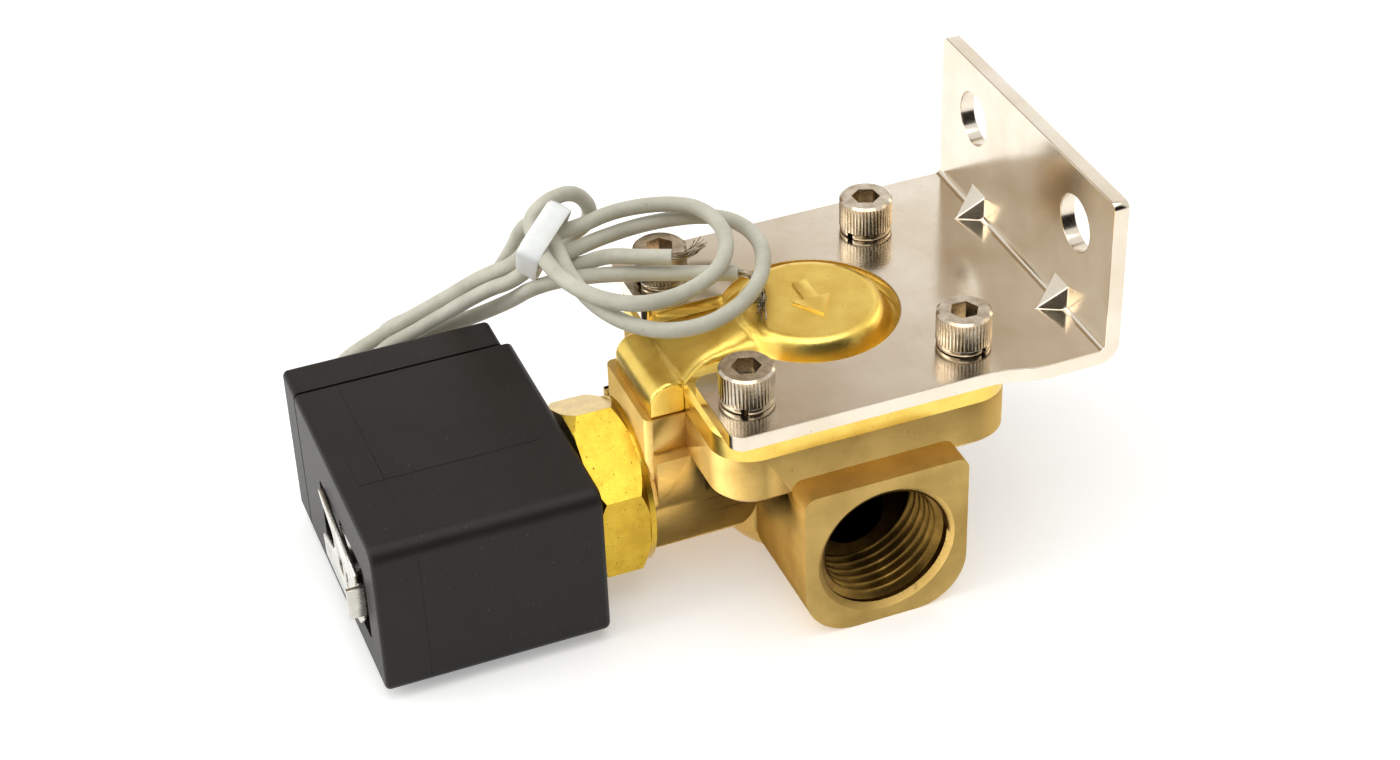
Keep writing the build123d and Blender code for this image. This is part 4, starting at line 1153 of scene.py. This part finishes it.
tie = {
    "middle": (-34.14, 56.18, 31.04), "way": (0.684, -0.588, -0.431), "along": (0.671, 0.277, 0.687),
    "reach": (-5.0, 6.4), "halfWidth": 1.75, "wall": 0.3, "edge": 0.1,
    # how far it stands off the leads, how far its second turn stands off the first, and from which share
    # of its length, and how fast, it climbs to there
    "gap": 0.06, "step": 0.32, "climbFrom": 0.375, "climbRate": 4, "rise": 0.5, "unevenness": 0.02,
    "seed": 9,
    "steps": 96, "soften": 6, "crown": ((-1.0, 0.0), (-0.5, 0.1), (0.0, 0.13), (0.5, 0.1), (1.0, 0.0)),
}


def outlineRound(sheaths):
    # Outline of the leads where the tie crosses them, as places along and across the tie
    way = Vector(tie["way"]).normalized()
    along = Vector(tie["along"]).normalized()
    across = way.cross(along)
    middle = Vector(tie["middle"])
    places = []
    for sheath in sheaths:
        body = sheath.to_mesh()
        for point in body.vertices:
            at = point.co * 1000 - middle
            isHere = abs(at.dot(way)) < tie["halfWidth"]
            if isHere and tie["reach"][0] < at.dot(along) < tie["reach"][1]:
                places.append((at.dot(along), at.dot(across)))
        sheath.to_mesh_clear()
    return [places[index] for index in geometry.convex_hull_2d(places)], way, along, across


def evenly(outline, count):
    # The same number of places on the closed outline, evenly spaced and softened
    corners = [Vector(at) for at in outline] + [Vector(outline[0])]
    lengths = [(b - a).length for a, b in zip(corners, corners[1:])]
    places = []
    for step in range(count):
        left = sum(lengths) * step / count
        side = 0
        while left > lengths[side]:
            left -= lengths[side]
            side += 1
        places.append(corners[side].lerp(corners[side + 1], left / lengths[side]))
    middle = sum(places, Vector((0, 0))) / count
    for _ in range(tie["soften"]):
        places = [(places[i - 1] + places[i] * 2 + places[(i + 1) % count]) / 4 for i in range(count)]
    return places, middle


def wrappedTie(sheaths):
    # Flat tie, wound twice round the bundle, the second turn lying partly over the first
    draw = random.Random(tie["seed"])
    outline, way, along, across = outlineRound(sheaths)
    places, heart = evenly(outline, tie["steps"])
    middle = Vector(tie["middle"])
    points = []
    total = tie["steps"] * 2
    for step in range(total + 1):
        place = places[step % tie["steps"]]
        outward = (place - heart).normalized()
        share = step / total
        climb = min(1.0, max(0.0, (share - tie["climbFrom"]) * tie["climbRate"]))
        wobble = draw.uniform(-tie["unevenness"], tie["unevenness"])
        place = place + outward * (tie["gap"] + tie["step"] * climb + wobble)
        centre = middle + along * place.x + across * place.y + way * (share - 0.5) * tie["rise"]
        outward = along * outward.x + across * outward.y
        for side, lift in tie["crown"]:
            points.append(centre + way * side * tie["halfWidth"] + outward * lift)
    faces = []
    columns = len(tie["crown"])
    for row in range(total):
        for column in range(columns - 1):
            first = row * columns + column
            faces.append((first, first + 1, first + columns + 1, first + columns))
    piece = meshPiece("tie_band", points, [], faces)
    turnOutward(piece)
    wall = piece.modifiers.new("wall", "SOLIDIFY")
    wall.thickness = mm(tie["wall"])
    wall.offset = 1
    breakEdges(piece, tie["edge"], angle=50)
    return finishPiece(piece, "tie_tape", ["wire_tie"], smoothAngle=50)


sheaths = {letter: layLead(letter) for letter in "ab"}
tieBand = wrappedTie(list(sheaths.values()))
for letter, sheath in sheaths.items():
    endLead(letter)
print("leads laid and tied")
